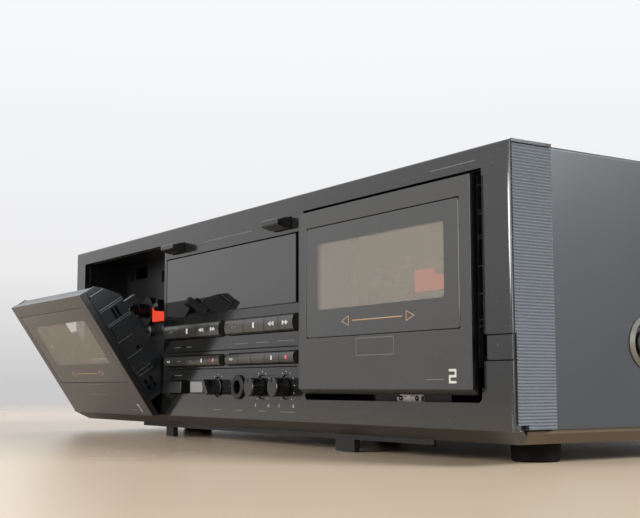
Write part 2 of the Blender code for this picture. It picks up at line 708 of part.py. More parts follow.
def well_outline(side):
    inner = WELL_INNER_X
    outer = WELL_INNER_X + WELL_WIDTH
    low = WELL_BOTTOM_Z
    points = [(inner + WELL_STEP + WELL_CORNER, low), (outer - WELL_STEP - WELL_CORNER, low)]
    points += [(outer - WELL_STEP, low + WELL_CORNER), (outer - WELL_STEP, WELL_STEP_Z)]
    points += [(outer, WELL_STEP_Z), (outer, WELL_TOP_Z), (inner, WELL_TOP_Z), (inner, WELL_STEP_Z)]
    points += [(inner + WELL_STEP, WELL_STEP_Z), (inner + WELL_STEP, low + WELL_CORNER)]
    return [(side * x, z) for x, z in points]


def slot_box(left, right, bottom, height):
    """Opening round a row of keys, with running clearance on every side."""
    low = (left - RUN_CLEAR, -OVERRUN, bottom)
    high = (right + RUN_CLEAR, PANEL_WALL + OVERRUN, bottom + height)
    return (low, high)


def facia_cutters():
    back = PANEL_WALL + OVERRUN
    wells = [outline("well_cut_a", "Y", well_outline(-1), -OVERRUN, back),
             outline("well_cut_b", "Y", well_outline(1), -OVERRUN, back)]
    slots = [((-DISPLAY_HALF_WIDTH, -OVERRUN, DISPLAY_BOTTOM_Z),
              (DISPLAY_HALF_WIDTH, back, DISPLAY_TOP_Z))]
    for _, left in KEY_ROWS:
        right = left + KEY_ROW_WIDTH
        slots.append(slot_box(left, right, TRANSPORT_SLOT_Z, TRANSPORT_SLOT_HEIGHT))
        slots.append(slot_box(left, right, MODE_SLOT_Z, MODE_SLOT_HEIGHT))
    tab_high = TAB_INNER_X + TAB_WIDTH + RUN_CLEAR
    slots += mirror_boxes((TAB_INNER_X - RUN_CLEAR, -OVERRUN, TAB_BOTTOM_Z - RUN_CLEAR),
                          (tab_high, back, TAB_TOP_Z + RUN_CLEAR))
    slots.append(slot_box(POWER_LEFT_X, POWER_LEFT_X + POWER_WIDTH, POWER_BOTTOM_Z, POWER_HEIGHT))
    slots.append(slot_box(TIMER_LEFT_X, TIMER_LEFT_X + TIMER_WIDTH, TIMER_BOTTOM_Z, TIMER_HEIGHT))
    grooves = []
    reach = WELL_INNER_X - GROOVE_MARGIN
    outer = WELL_INNER_X + WELL_WIDTH
    for bottom in (GROOVE_UPPER_Z, GROOVE_LOWER_Z):
        top = bottom + GROOVE_HEIGHT
        grooves.append(((-reach, -OVERRUN, bottom), (reach, GROOVE_DEPTH, top)))
        grooves += mirror_boxes((outer - BITE, -OVERRUN, bottom), (HALF_WIDTH + OVERRUN, GROOVE_DEPTH, top))
    notches = mirror_boxes((outer - BITE, -OVERRUN, GROOVE_LOWER_Z + GROOVE_HEIGHT / 2),
                           (outer + STILE_NOTCH, back, GROOVE_UPPER_Z + GROOVE_HEIGHT / 2))
    length = back + OVERRUN
    holes = []
    for x, radius in ((BIAS_X, KNOB_HOLE_RADIUS), (LEVEL_X, KNOB_HOLE_RADIUS),
                      (REDUCTION_X, REDUCTION_HOLE_RADIUS), (JACK_X, JACK_HOLE_RADIUS)):
        holes.append(((x, -OVERRUN, KNOB_Z), length, radius))
    return wells + [boxes("facia_slots", slots), boxes("stile_notches", notches),
                    boxes("facia_grooves", grooves),
                    rods("facia_holes", "Y", holes, steps=ROUND_STEPS)]


def build_display_window():
    """Window plate on a wider back, which closes the dark gap along its right end."""
    left = -DISPLAY_HALF_WIDTH + CLEAR
    low = DISPLAY_BOTTOM_Z + DISPLAY_EDGE_GAP
    high = DISPLAY_TOP_Z - DISPLAY_EDGE_GAP
    step = DISPLAY_RECESS + DISPLAY_THICK
    plate = boxes("display_window", [((left, DISPLAY_RECESS, low),
                                      (DISPLAY_HALF_WIDTH - DISPLAY_RIGHT_GAP, step, high))], SMOKED)
    back = boxes("display_back", [((left, step - BITE / 2, DISPLAY_BOTTOM_Z + CLEAR),
                                   (DISPLAY_HALF_WIDTH - CLEAR, step + DISPLAY_BACK, DISPLAY_TOP_Z - CLEAR))])
    return join(break_edges(plate, EDGE / 2), back)


def trim_outline(side):
    """Upright strip whose outer face carries level flutes."""
    inner = HALF_WIDTH - TRIM_THICK
    top = TOP_Z - TRIM_LIP - CLEAR
    count = int((top - TRIM_FOOT_Z) / TRIM_PITCH)
    pitch = (top - TRIM_FOOT_Z) / count
    points = [(inner, TRIM_FOOT_Z), (HALF_WIDTH - TRIM_FLUTE, TRIM_FOOT_Z)]
    for flute in range(count):
        base = TRIM_FOOT_Z + flute * pitch
        points.append((HALF_WIDTH, base + pitch / 2))
        points.append((HALF_WIDTH - TRIM_FLUTE, base + pitch))
    points.append((inner, top))
    return [(side * x, z) for x, z in points]


def build_side_trims():
    for name, side in (("side_trim_left", -1), ("side_trim_right", 1)):
        strip = outline(name, "Y", trim_outline(side), TRIM_FRONT, PANEL_LIP_DEPTH, TRIM)
        low = (HALF_WIDTH - TRIM_THICK - OVERRUN, TRIM_FRONT - OVERRUN, -OVERRUN)
        high = (HALF_WIDTH + OVERRUN, TRIM_FRONT + TRIM_NOTCH_DEPTH, TRIM_FOOT_Z + TRIM_NOTCH_HEIGHT)
        step_high = (high[0], TRIM_FRONT + TRIM_STEP, GROOVE_UPPER_Z + GROOVE_HEIGHT)
        notches = mirror_boxes(low, high)[::2] if side > 0 else mirror_boxes(low, high)[1:]
        steps = mirror_boxes(low, step_high)[::2] if side > 0 else mirror_boxes(low, step_high)[1:]
        cut(strip, boxes(name + "_notch", notches), boxes(name + "_step", steps))


def build_top_cover():
    """Steel sheet bent to a U, with two rows of vents in the top."""
    bend = COVER_BEND
    inner_bend = COVER_BEND - COVER_SHEET
    outer = [(COVER_HALF, CLEAR)]
    outer += arc((COVER_HALF - bend, TOP_Z - bend), bend, 0, 90, 4)
    inner = [(COVER_HALF - COVER_SHEET, CLEAR)]
    inner += arc((COVER_HALF - bend, TOP_Z - bend), inner_bend, 0, 90, 2)
    right = outer
    left = [(-x, z) for x, z in reversed(outer)]
    left_inner = [(-x, z) for x, z in inner]
    right_inner = list(reversed(inner))
    section = right + left + left_inner + right_inner
    cover = outline("top_cover", "Y", section, PANEL_LIP_DEPTH + CLEAR, CASE_DEPTH, STEEL_PAINT)
    vents = []
    rear = CASE_DEPTH - VENT_REAR_MARGIN
    for row in range(2):
        high_y = rear - row * (VENT_LENGTH + VENT_ROW_GAP)
        for index in range(VENT_COUNT):
            x = (index - (VENT_COUNT - 1) / 2) * VENT_PITCH
            vents.append(((x - VENT_WIDTH / 2, high_y - VENT_LENGTH, TOP_Z - COVER_SHEET - OVERRUN / 2),
                          (x + VENT_WIDTH / 2, high_y, TOP_Z + OVERRUN)))
    cut(cover, boxes("vent_cuts", vents))
    hole = SCREW_CUP_BODY + SCREW_HOLE_CLEAR
    length = COVER_SHEET + 2 * OVERRUN
    holes = [((COVER_HALF - COVER_SHEET - OVERRUN, SCREW_Y, SCREW_Z), length, hole),
             ((-COVER_HALF - OVERRUN, SCREW_Y, SCREW_Z), length, hole)]
    cut(cover, rods("cover_screw_holes", "X", holes))
    return cover


def board_bosses():
    """Centre of each boss that carries the main board."""
    places = []
    for x in (BOARD_LEFT_X + BOARD_HOLE_INSET, BOARD_RIGHT_X - BOARD_HOLE_INSET):
        for y in (BOARD_FRONT_Y + BOARD_HOLE_INSET, BOARD_REAR_Y - BOARD_HOLE_INSET):
            places.append((x, y))
    return places


def build_bottom_chassis():
    """Steel tray with sloped sides, flanges inside the cover, a front rail and board bosses."""
    low = -CHIN_DROP
    slope_top = low + TRAY_SLOPE_RISE
    foot = TRAY_HALF - TRAY_SLOPE_RUN
    outer = [(foot, low), (TRAY_HALF, slope_top), (TRAY_HALF, slope_top + TRAY_FLANGE - TRAY_SLOPE_RISE)]
    lean = TRAY_SHEET * math.tan(math.atan2(TRAY_SLOPE_RISE, TRAY_SLOPE_RUN) / 2)
    inner = [(foot - lean, low + TRAY_SHEET), (TRAY_HALF - TRAY_SHEET, slope_top + lean),
             (TRAY_HALF - TRAY_SHEET, outer[-1][1])]
    section = outer + list(reversed(inner)) + [(-x, z) for x, z in inner]
    section += [(-x, z) for x, z in reversed(outer)]
    front = CHIN_DEPTH + CLEAR
    tray = outline("bottom_chassis", "Y", section, front, REAR_Y + REAR_SHEET, STEEL_PAINT)
    rail_bottom = low - RAIL_DROP
    leg_bottom = FLOOR_Z + LEG_FLOOR_GAP
    left_leg = RAIL_LEFT_X + LEG_LEFT_INSET
    right_leg = RAIL_RIGHT_X - LEG_RIGHT_INSET
    rail = boxes("front_rail", [((RAIL_LEFT_X, front, rail_bottom),
                                 (RAIL_RIGHT_X, front + RAIL_THICK, low + TRAY_SHEET / 2))])
    legs = boxes("rail_legs", [
        ((left_leg - LEG_LEFT_WIDTH / 2, front, leg_bottom),
         (left_leg + LEG_LEFT_WIDTH / 2, front + LEG_DEPTH, low + TRAY_SHEET / 3)),
        ((right_leg - LEG_RIGHT_WIDTH / 2, front, leg_bottom),
         (right_leg + LEG_RIGHT_WIDTH / 2, front + LEG_DEPTH, low + TRAY_SHEET / 3))])
    posts = [((x, y, TRAY_FLOOR_Z - TRAY_SHEET / 2), BOSS_HEIGHT + TRAY_SHEET / 2, BOSS_RADIUS)
             for x, y in board_bosses()]
    join(tray, rail, legs, rods("board_bosses", "Z", posts, steps=SMALL_STEPS // 2))
    notch_low = (foot, front - OVERRUN, -CLEAR)
    notch_high = (TRAY_HALF + OVERRUN, PANEL_LIP_DEPTH + CLEAR, slope_top + TRAY_FLANGE)
    cut(tray, boxes("flange_notches", mirror_boxes(notch_low, notch_high)))
    return tray


def socket_places():
    places = []
    for column in (-1, 1):
        for row in (-1, 1):
            places.append((SOCKET_CENTRE_X + column * SOCKET_PITCH / 2,
                           SOCKET_CENTRE_Z + row * SOCKET_PITCH / 2))
    return places


def build_rear_panel():
    low_half = TRAY_HALF - TRAY_SHEET - REAR_INSET
    step_z = -CHIN_DROP + TRAY_FLANGE + CLEAR
    foot_z = -CHIN_DROP + TRAY_SLOPE_RISE + TRAY_SHEET
    floor_half = low_half - TRAY_SLOPE_RUN
    half = [(floor_half, TRAY_FLOOR_Z + CLEAR), (low_half, foot_z), (low_half, step_z),
            (TRAY_HALF, step_z + TRAY_HALF - low_half), (TRAY_HALF, TOP_Z - COVER_SHEET - REAR_INSET)]
    panel = outline("rear_panel", "Y", mirrored(half), REAR_Y, REAR_Y + REAR_SHEET, STEEL_PAINT)
    length = REAR_SHEET + 2 * OVERRUN
    holes = [((x, REAR_Y - OVERRUN, z), length, SOCKET_RADIUS + SOCKET_HOLE_CLEAR)
             for x, z in socket_places()]
    inlet = ((INLET_X - INLET_HALF_WIDTH - CLEAR, REAR_Y - OVERRUN, INLET_Z - INLET_HALF_HEIGHT - CLEAR),
             (INLET_X + INLET_HALF_WIDTH + CLEAR, CASE_DEPTH + OVERRUN, INLET_Z + INLET_HALF_HEIGHT + CLEAR))
    return cut(panel, rods("socket_holes", "Y", holes), boxes("inlet_hole", [inlet]))


def build_feet():
    top = FOOT_HEIGHT
    taper = FOOT_HEIGHT / 2
    profile = [(0, top), (FOOT_RADIUS - FOOT_CHAMFER, top), (FOOT_RADIUS, top - FOOT_CHAMFER),
               (FOOT_RADIUS, taper), (FOOT_BASE_RADIUS, FOOT_CHAMFER),
               (FOOT_BASE_RADIUS - FOOT_CHAMFER, 0), (0, 0)]
    places = (("foot_front_left", -FOOT_X, FOOT_FRONT_LEFT_Y), ("foot_front_right", FOOT_X, FOOT_FRONT_RIGHT_Y),
              ("foot_rear_left", -FOOT_X, FOOT_REAR_Y), ("foot_rear_right", FOOT_X, FOOT_REAR_Y))
    for name, x, y in places:
        smooth(turned(name, profile, Matrix.Translation(frame(x, y, FLOOR_Z)), RUBBER))


def build_mechanism_frame(name, centre):
    """Open-fronted box behind a well; its side walls carry the door's pins."""
    half = DOOR_WIDTH / 2 + FRAME_SIDE_CLEAR
    front = PANEL_WALL + CLEAR
    back = FRAME_PLATE_Y + FRAME_PLATE
    low = TRAY_FLOOR_Z + CLEAR
    shell = boxes(name, [((centre - half - FRAME_WALL, front, low),
                          (centre + half + FRAME_WALL, back, FRAME_TOP_Z))], DARK_GREY)
    hollow = boxes(name + "_hollow", [((centre - half, front - OVERRUN, low + FRAME_WALL),
                                       (centre + half, FRAME_PLATE_Y, FRAME_TOP_Z - FRAME_WALL))])
    pin_hole = rods(name + "_pin_hole", "X", [((centre - half - OVERRUN, HINGE_Y, HINGE_Z),
                                               2 * (half + OVERRUN), PIN_RADIUS + PIN_CLEAR)])
    through = back - FRAME_PLATE_Y + 2 * OVERRUN
    shafts = [((centre + side * HUB_SPACING / 2, FRAME_PLATE_Y - OVERRUN, HUB_Z), through,
               SPINDLE_SHAFT_RADIUS + RUN_CLEAR) for side in (-1, 1)]
    slots = []
    for side in (-1, 1):
        x = centre + side * SENSOR_SLOT_X
        foot = FRAME_TOP_Z - SENSOR_SLOT_DROP
        slots.append(((x - SENSOR_SLOT_WIDTH / 2, FRAME_PLATE_Y - OVERRUN, foot),
                      (x + SENSOR_SLOT_WIDTH / 2, back + OVERRUN, foot + SENSOR_SLOT_HEIGHT)))
    chin = boxes(name + "_chin_notch", [((centre - half - FRAME_WALL - OVERRUN, front - OVERRUN, low - OVERRUN),
                                         (centre + half + FRAME_WALL + OVERRUN, CHIN_DEPTH + CLEAR,
                                          CHIN_TOP_Z + CLEAR))])
    cut(shell, hollow, chin, pin_hole, rods(name + "_shaft_holes", "Y", shafts),
        boxes(name + "_slots", slots))
    return shell


def build_idler_cover(name, centre):
    """Red cover of the idler between the two reel spindles."""
    foot = HUB_Z - IDLER_DROP
    low = (centre - IDLER_HALF_WIDTH, FRAME_PLATE_Y - CLEAR - IDLER_DEPTH, foot)
    high = (centre + IDLER_HALF_WIDTH, FRAME_PLATE_Y - CLEAR, foot + IDLER_HEIGHT)
    cover = break_edges(boxes(name, [(low, high)], RED), EDGE)
    notch_low = (high[0] - IDLER_CORNER, low[1] - OVERRUN, high[2] - IDLER_CORNER)
    notch_high = (high[0] + OVERRUN, high[1] + OVERRUN, high[2] + OVERRUN)
    return cut(cover, boxes(name + "_notch", [(notch_low, notch_high)]))


def build_reel_spindle(name, x):
    """Drive spindle that a cassette's hub drops onto; it turns in the frame's plate."""
    base_y = FRAME_PLATE_Y - RUN_CLEAR
    disc = SPINDLE_DISC
    hub = disc + SPINDLE_HUB_LENGTH
    tip = hub + SPINDLE_TIP_LENGTH
    tail = -FRAME_PLATE - 2 * RUN_CLEAR - SPINDLE_FIN_THICK
    taper = SPINDLE_TIP_RADIUS / 2
    profile = [(0, tip), (taper, tip), (SPINDLE_TIP_RADIUS, tip - taper), (SPINDLE_TIP_RADIUS, hub),
               (SPINDLE_HUB_RADIUS, hub), (SPINDLE_HUB_RADIUS, disc), (SPINDLE_DISC_RADIUS, disc),
               (SPINDLE_DISC_RADIUS, 0), (SPINDLE_SHAFT_RADIUS, 0), (SPINDLE_SHAFT_RADIUS, tail), (0, tail)]
    spindle = turned(name, profile, facing_front(x, base_y, HUB_Z), DARK_GREY, steps=SMALL_STEPS)
    fin_front = base_y - hub - SPINDLE_TIP_LENGTH * SPINDLE_FIN_SHARE
    star = []
    half_angle = math.degrees(math.atan2(SPINDLE_FIN_THICK / 2, SPINDLE_FIN_RADIUS))
    for fin in range(3):
        middle = 90 + fin * 120
        star += arc((0, 0), SPINDLE_FIN_RADIUS, middle - half_angle, middle + half_angle, 1)
        star += arc((0, 0), SPINDLE_TIP_RADIUS / 2, middle + 60, middle + 60, 1)[:1]
    fins = outline(name + "_fins", "Y", star, fin_front, base_y - hub + BITE, offset=(x, 0, HUB_Z))
    return smooth(join(spindle, fins))


def build_head_block(name, centre):
    """Carriage with the tape head, its bracket and two pinch rollers; it rises into the cassette."""
    back = FRAME_PLATE_Y - RUN_CLEAR
    base = boxes(name, [((centre - HEAD_BASE_HALF_WIDTH, HEAD_BASE_FRONT_Y, HEAD_BASE_BOTTOM_Z),
                         (centre + HEAD_BASE_HALF_WIDTH, back, HEAD_BASE_TOP_Z))], BLACK)
    head_back = HEAD_BASE_FRONT_Y + BITE
    head = boxes(name + "_head", [((centre - HEAD_HALF_WIDTH, head_back - HEAD_DEPTH, HEAD_BASE_TOP_Z - BITE),
                                   (centre + HEAD_HALF_WIDTH, head_back, HEAD_BASE_TOP_Z + HEAD_RISE))])
    rollers = [((centre + side * ROLLER_X, head_back - ROLLER_LENGTH, HEAD_BASE_TOP_Z), ROLLER_LENGTH,
                ROLLER_RADIUS) for side in (-1, 1)]
    front = HEAD_BASE_FRONT_Y - BRACKET_PROUD
    foot_z = HEAD_BASE_BOTTOM_Z + BRACKET_RISE
    foot = boxes(name + "_bracket", [((centre - BRACKET_HALF_WIDTH, front, foot_z),
                                      (centre + BRACKET_HALF_WIDTH, head_back, foot_z + BRACKET_FOOT))])
    post = boxes(name + "_post", [((centre - POST_HALF_WIDTH, front - BITE / 2, foot_z - BITE / 2),
                                   (centre + POST_HALF_WIDTH, head_back - BITE / 2, HEAD_BASE_TOP_Z))])
    return join(base, head, rods(name + "_rollers", "Y", rollers), foot, post)


def door_axis(name, centre, angle):
    """Empty on a door's hinge line; the door's pieces are its children."""
    axis = bpy.data.objects.new(name, None)
    PARTS.objects.link(axis)
    axis.empty_display_size = PIN_LENGTH
    axis.location = frame(centre, HINGE_Y, HINGE_Z)
    axis.rotation_euler = (angle, 0, 0)
    return axis


def hang(axis, item):
    """Hang a piece, shaped for the closed door, and its shapers on the hinge line."""
    closed = Matrix.Translation(axis.location)
    for piece in [item] + [change.object for change in item.modifiers if change.type == "BOOLEAN"]:
        local = closed.inverted() @ piece.matrix_world
        piece.parent = axis
        piece.matrix_parent_inverse = Matrix.Identity(4)
        piece.matrix_basis = local


def build_door_panel(name, centre):
    half = DOOR_WIDTH / 2
    section = [(-DOOR_PROUD, DOOR_BOTTOM_Z + DOOR_BEVEL_HEIGHT), (-DOOR_PROUD, DOOR_TOP_Z), (0, DOOR_TOP_Z),
               (0, DOOR_BOTTOM_Z), (-DOOR_PROUD + DOOR_BEVEL_DEPTH, DOOR_BOTTOM_Z)]
    panel = outline(name, "X", section, centre - half, centre + half, FACIA)
    pane_low, pane_high = pane_corners(centre)
    pocket = boxes(name + "_pocket", [(pane_low - Vector((CLEAR, OVERRUN, CLEAR)),
                                       pane_high + Vector((CLEAR, CLEAR, CLEAR)))])
    window = boxes(name + "_window", [(pane_low + Vector((PANE_LEDGE_SIDE, -OVERRUN, PANE_LEDGE_BOTTOM)),
                                       pane_high + Vector((-PANE_LEDGE_SIDE, OVERRUN, -PANE_LEDGE_TOP)))])
    return cut(panel, pocket, window)


def pane_corners(centre):
    half = DOOR_WIDTH / 2 - PANE_SIDE_MARGIN
    front = -DOOR_PROUD + PANE_RECESS
    return (Vector((centre - half, front, PANE_BOTTOM_Z)),
            Vector((centre + half, front + PANE_THICK, PANE_BOTTOM_Z + PANE_HEIGHT)))


def build_door_window(name, centre):
    return break_edges(boxes(name, [pane_corners(centre)], SMOKED), EDGE / 2)


def holder_side_outline():
    """Side view of the holder: deep at the cassette, down behind the well's sill to the hinge."""
    front = CLEAR
    top = DOOR_TOP_Z - CLEAR
    points = [(front, HOLDER_FOOT_Z), (front, top), (HOLDER_TOP_DEPTH, top)]
    points += [(HOLDER_BREAK_Y, HOLDER_BREAK_Z), (HOLDER_DEPTH, HOLDER_SLOPE_Z)]
    points += [(HOLDER_DEPTH, HOLDER_SHOULDER_Z), (CASSETTE_BACK_Y, HOLDER_SHOULDER_Z - HOLDER_FLANGE)]
    points += [(CASSETTE_BACK_Y + HOLDER_FLANGE, CASSETTE_FOOT_Z)]
    points += arc((HINGE_Y, HINGE_Z), LUG_RADIUS, 10, -170, 8)
    points += [(HOLDER_FRONT_FOOT_DEPTH, HOLDER_FOOT_Z)]
    return points


def rib_heights():
    """Height and reach of each level rib on the holder's sides."""
    span = HOLDER_BREAK_Z - CASSETTE_FOOT_Z
    heights = []
    for index, share in enumerate(RIB_HEIGHT_SHARES):
        reach = HOLDER_DEPTH if index < RIB_DEEP_COUNT else RIB_REACH
        heights.append((CASSETTE_FOOT_Z + span * share, reach if index else RIB_TOP_REACH))
    return heights


def build_cassette_holder(name, centre):
    half = DOOR_WIDTH / 2 - HOLDER_SIDE_INSET
    sides = holder_side_outline()
    holder = outline(name, "X", sides, centre + half - HOLDER_SIDE_WALL, centre + half, DARK_GREY)
    other = outline(name + "_side", "X", sides, centre - half, centre - half + HOLDER_SIDE_WALL)
    inner = half - HOLDER_SIDE_WALL + BITE
    guide = CASSETTE_WIDTH / 2 + CASSETTE_CLEAR
    guide_outer = guide + HOLDER_WALL
    wall_back = HOLDER_GUIDE_Y + HOLDER_WALL
    cassette_back = CASSETTE_BACK_Y
    top = DOOR_TOP_Z - CLEAR
    ledge_z = CASSETTE_FOOT_Z - HOLDER_LEDGE
    foot = HOLDER_FOOT_Z + HOLDER_FLANGE
    lip_top = CASSETTE_FOOT_Z + CASSETTE_LIP_RISE
    ledge_x = CASSETTE_WIDTH / 2 - LEDGE_REACH
    front_wall = boxes(name + "_front_wall", [((centre - inner, HOLDER_GUIDE_Y, foot - BITE),
                                               (centre + inner, wall_back, top - BITE))])
    flanges = boxes(name + "_flanges", [
        ((centre - inner, CLEAR, top - HOLDER_FLANGE - BITE), (centre + inner, wall_back - BITE / 2, top - BITE / 2)),
        ((centre - inner, CLEAR, foot - BITE / 2), (centre + inner, wall_back - BITE / 2, foot + HOLDER_FLANGE))])
    guides = boxes(name + "_guides", mirror_about(centre, (guide, wall_back - BITE, ledge_z + BITE / 2),
                                                  (guide_outer, cassette_back, HOLDER_SLOPE_Z)))
    ledges = boxes(name + "_ledges", mirror_about(centre, (ledge_x, wall_back - BITE, ledge_z),
                                                  (inner, cassette_back - BITE, CASSETTE_FOOT_Z)))
    lips = boxes(name + "_lips", mirror_about(centre, (guide - CASSETTE_LIP_WIDTH, cassette_back - BITE / 2,
                                                       ledge_z + BITE / 4),
                                              (guide_outer - BITE / 4, cassette_back + HOLDER_WALL, lip_top)))
    foot_links = boxes(name + "_lip_feet", mirror_about(centre, (guide - CASSETTE_LIP_WIDTH + BITE / 4,
                                                                 cassette_back - 2 * BITE, ledge_z + BITE / 8),
                                                        (guide_outer, cassette_back + BITE, CASSETTE_FOOT_Z)))
    ribs = []
    for height, reach in rib_heights():
        ribs += mirror_about(centre, (half - BITE, CLEAR + BITE, height - RIB_WIDTH / 2),
                             (half + RIB_PROUD, CLEAR + reach, height + RIB_WIDTH / 2))
    heights = rib_heights()
    catch_z = (heights[2][0] + heights[3][0]) / 2
    catches = boxes(name + "_catches", mirror_about(
        centre, (half - CATCH_THICK, HOLDER_DEPTH - CATCH_ROOT, catch_z - CATCH_HEIGHT / 2),
        (half + RIB_PROUD / 2, HOLDER_DEPTH + CATCH_REACH, catch_z + CATCH_HEIGHT / 2)))
    pins = [((centre + half - BITE, HINGE_Y, HINGE_Z), PIN_LENGTH + BITE, PIN_RADIUS),
            ((centre - half - PIN_LENGTH, HINGE_Y, HINGE_Z), PIN_LENGTH + BITE, PIN_RADIUS)]
    join(holder, other, front_wall, flanges, guides, ledges, lips, foot_links, boxes(name + "_ribs", ribs),
         catches, rods(name + "_pins", "X", pins))
    pane_low, pane_high = pane_corners(centre)
    window = ((pane_low.x + PANE_LEDGE_SIDE, CLEAR, pane_low.z + PANE_LEDGE_BOTTOM),
              (pane_high.x - PANE_LEDGE_SIDE, wall_back + HOLDER_WALL, pane_high.z - PANE_LEDGE_TOP))
    return cut(holder, boxes(name + "_window", [window]))


def mirror_about(centre, low, high):
    """Two boxes, one each side of a centre, from one given by distances from it."""
    near = ((centre + low[0], low[1], low[2]), (centre + high[0], high[1], high[2]))
    far = ((centre - high[0], low[1], low[2]), (centre - low[0], high[1], high[2]))
    return [near, far]


def build_deck_mechanism(letter, side, open_angle):
    centre = side * DOOR_CENTRE_X
    build_mechanism_frame("mechanism_frame_" + letter, centre)
    build_idler_cover("idler_cover_" + letter, centre)
    build_reel_spindle("reel_spindle_" + letter + "_left", centre - HUB_SPACING / 2)
    build_reel_spindle("reel_spindle_" + letter + "_right", centre + HUB_SPACING / 2)
    build_head_block("head_block_" + letter, centre)
    axis = door_axis("door_axis_" + letter, centre, open_angle)
    hang(axis, build_door_panel("door_panel_" + letter, centre))
    hang(axis, build_door_window("door_window_" + letter, centre))
    hang(axis, build_cassette_holder("cassette_holder_" + letter, centre))


def build_key(name, left, right, bottom, height, proud, spec):
    """Key with a front that bulges between its upper and lower edges."""
    low = bottom + RUN_CLEAR
    high = bottom + height - RUN_CLEAR
    middle = (low + high) / 2
    reach = (high - low) / 2
    points = [(KEY_BACK_Y, low), (KEY_BACK_Y, high), (-proud + KEY_SHOULDER, high)]
    for share in KEY_CURVE_SHARES:
        points.append((-proud - KEY_BULGE * (1 - share * share), middle + reach * share))
    points.append((-proud + KEY_SHOULDER, low))
    return outline(name, "X", points, left + KEY_GAP / 2, right - KEY_GAP / 2, spec)


def build_keys():
    transport = [KEY_ROW_WIDTH * share for share in TRANSPORT_WIDTH_SHARES]
    modes = [KEY_ROW_WIDTH / MODE_KEY_COUNT] * MODE_KEY_COUNT
    for letter, left in KEY_ROWS:
        for word, (start, end) in zip(TRANSPORT_WORDS, row_edges(left, transport)):
            build_key("key_" + word + "_" + letter, start, end, TRANSPORT_SLOT_Z,
                      TRANSPORT_SLOT_HEIGHT, KEY_PROUD, KEY_GREY)
        for index, (start, end) in enumerate(row_edges(left, modes)):
            build_key("mode_key_" + letter + str(index + 1), start, end, MODE_SLOT_Z,
                      MODE_SLOT_HEIGHT, MODE_KEY_PROUD, KEY_GREY)


def build_eject_tabs():
    nose_bottom = TAB_BOTTOM_Z + TAB_NOSE_BOTTOM
    nose_top = TAB_TOP_Z - TAB_NOSE_TOP
    points = [(TAB_BACK_Y, TAB_BOTTOM_Z), (TAB_BACK_Y, TAB_TOP_Z), (-TAB_NOSE_PROUD, TAB_TOP_Z),
              (-TAB_PROUD, nose_top), (-TAB_PROUD, nose_bottom), (-TAB_NOSE_PROUD, TAB_BOTTOM_Z)]
    for name, left in (("eject_tab_a", -TAB_INNER_X - TAB_WIDTH), ("eject_tab_b", TAB_INNER_X)):
        break_edges(outline(name, "X", points, left, left + TAB_WIDTH, DARK_GREY), EDGE)


def build_button(name, left, width, bottom, height, proud, spec):
    low = (left, -proud, bottom + RUN_CLEAR)
    high = (left + width, BUTTON_BACK_Y, bottom + height - RUN_CLEAR)
    return break_edges(boxes(name, [(low, high)], spec), EDGE, 2)


def build_knob(name, x):
    """Round knob with a pointer notch, its skirt just inside the hole in the panel."""
    skirt = KNOB_HOLE_RADIUS - RUN_CLEAR
    face = KNOB_PROUD
    skirt_front = -KNOB_SKIRT_Y
    profile = [(0, face), (KNOB_FACE_RADIUS, face), (KNOB_RADIUS, face - EDGE), (KNOB_RADIUS, skirt_front),
               (skirt, skirt_front), (skirt, -PANEL_WALL), (KNOB_SHAFT_RADIUS, -PANEL_WALL),
               (KNOB_SHAFT_RADIUS, -KNOB_BACK_Y), (0, -KNOB_BACK_Y)]
    knob = turned(name, profile, facing_front(x, 0, KNOB_Z), BLACK)
    notch_top = KNOB_Z + KNOB_RADIUS + OVERRUN
    notch = boxes(name + "_notch", [((x - KNOB_NOTCH_WIDTH / 2, -KNOB_PROUD - OVERRUN,
                                      KNOB_Z + KNOB_RADIUS - KNOB_NOTCH_LENGTH),
                                     (x + KNOB_NOTCH_WIDTH / 2, -KNOB_PROUD + KNOB_NOTCH_DEPTH, notch_top))])
    return smooth(cut(knob, notch))


def build_reduction_knob():
    """Knob with a bar handle that leans to its first position at rest."""
    skirt = REDUCTION_HOLE_RADIUS - RUN_CLEAR
    hub = REDUCTION_HUB_PROUD
    profile = [(0, hub), (REDUCTION_HUB_RADIUS - EDGE, hub), (REDUCTION_HUB_RADIUS, hub - EDGE),
               (REDUCTION_HUB_RADIUS, -KNOB_SKIRT_Y), (skirt, -KNOB_SKIRT_Y), (skirt, -PANEL_WALL),
               (KNOB_SHAFT_RADIUS, -PANEL_WALL), (KNOB_SHAFT_RADIUS, -KNOB_BACK_Y), (0, -KNOB_BACK_Y)]
    knob = turned("noise_reduction_knob", profile, facing_front(REDUCTION_X, 0, KNOB_Z), BLACK)
    centre = (REDUCTION_X, 0, KNOB_Z)
    bar = boxes("reduction_bar", [((REDUCTION_X - REDUCTION_BAR_THICK / 2, -KNOB_PROUD,
                                    KNOB_Z - REDUCTION_BAR_LENGTH / 2),
                                   (REDUCTION_X + REDUCTION_BAR_THICK / 2, -hub + BITE,
                                    KNOB_Z + REDUCTION_BAR_LENGTH / 2))], origin=centre)
    bar.matrix_world = bar.matrix_world @ Matrix.Rotation(REDUCTION_REST_ANGLE, 4, "Y")
    return smooth(join(knob, bar))


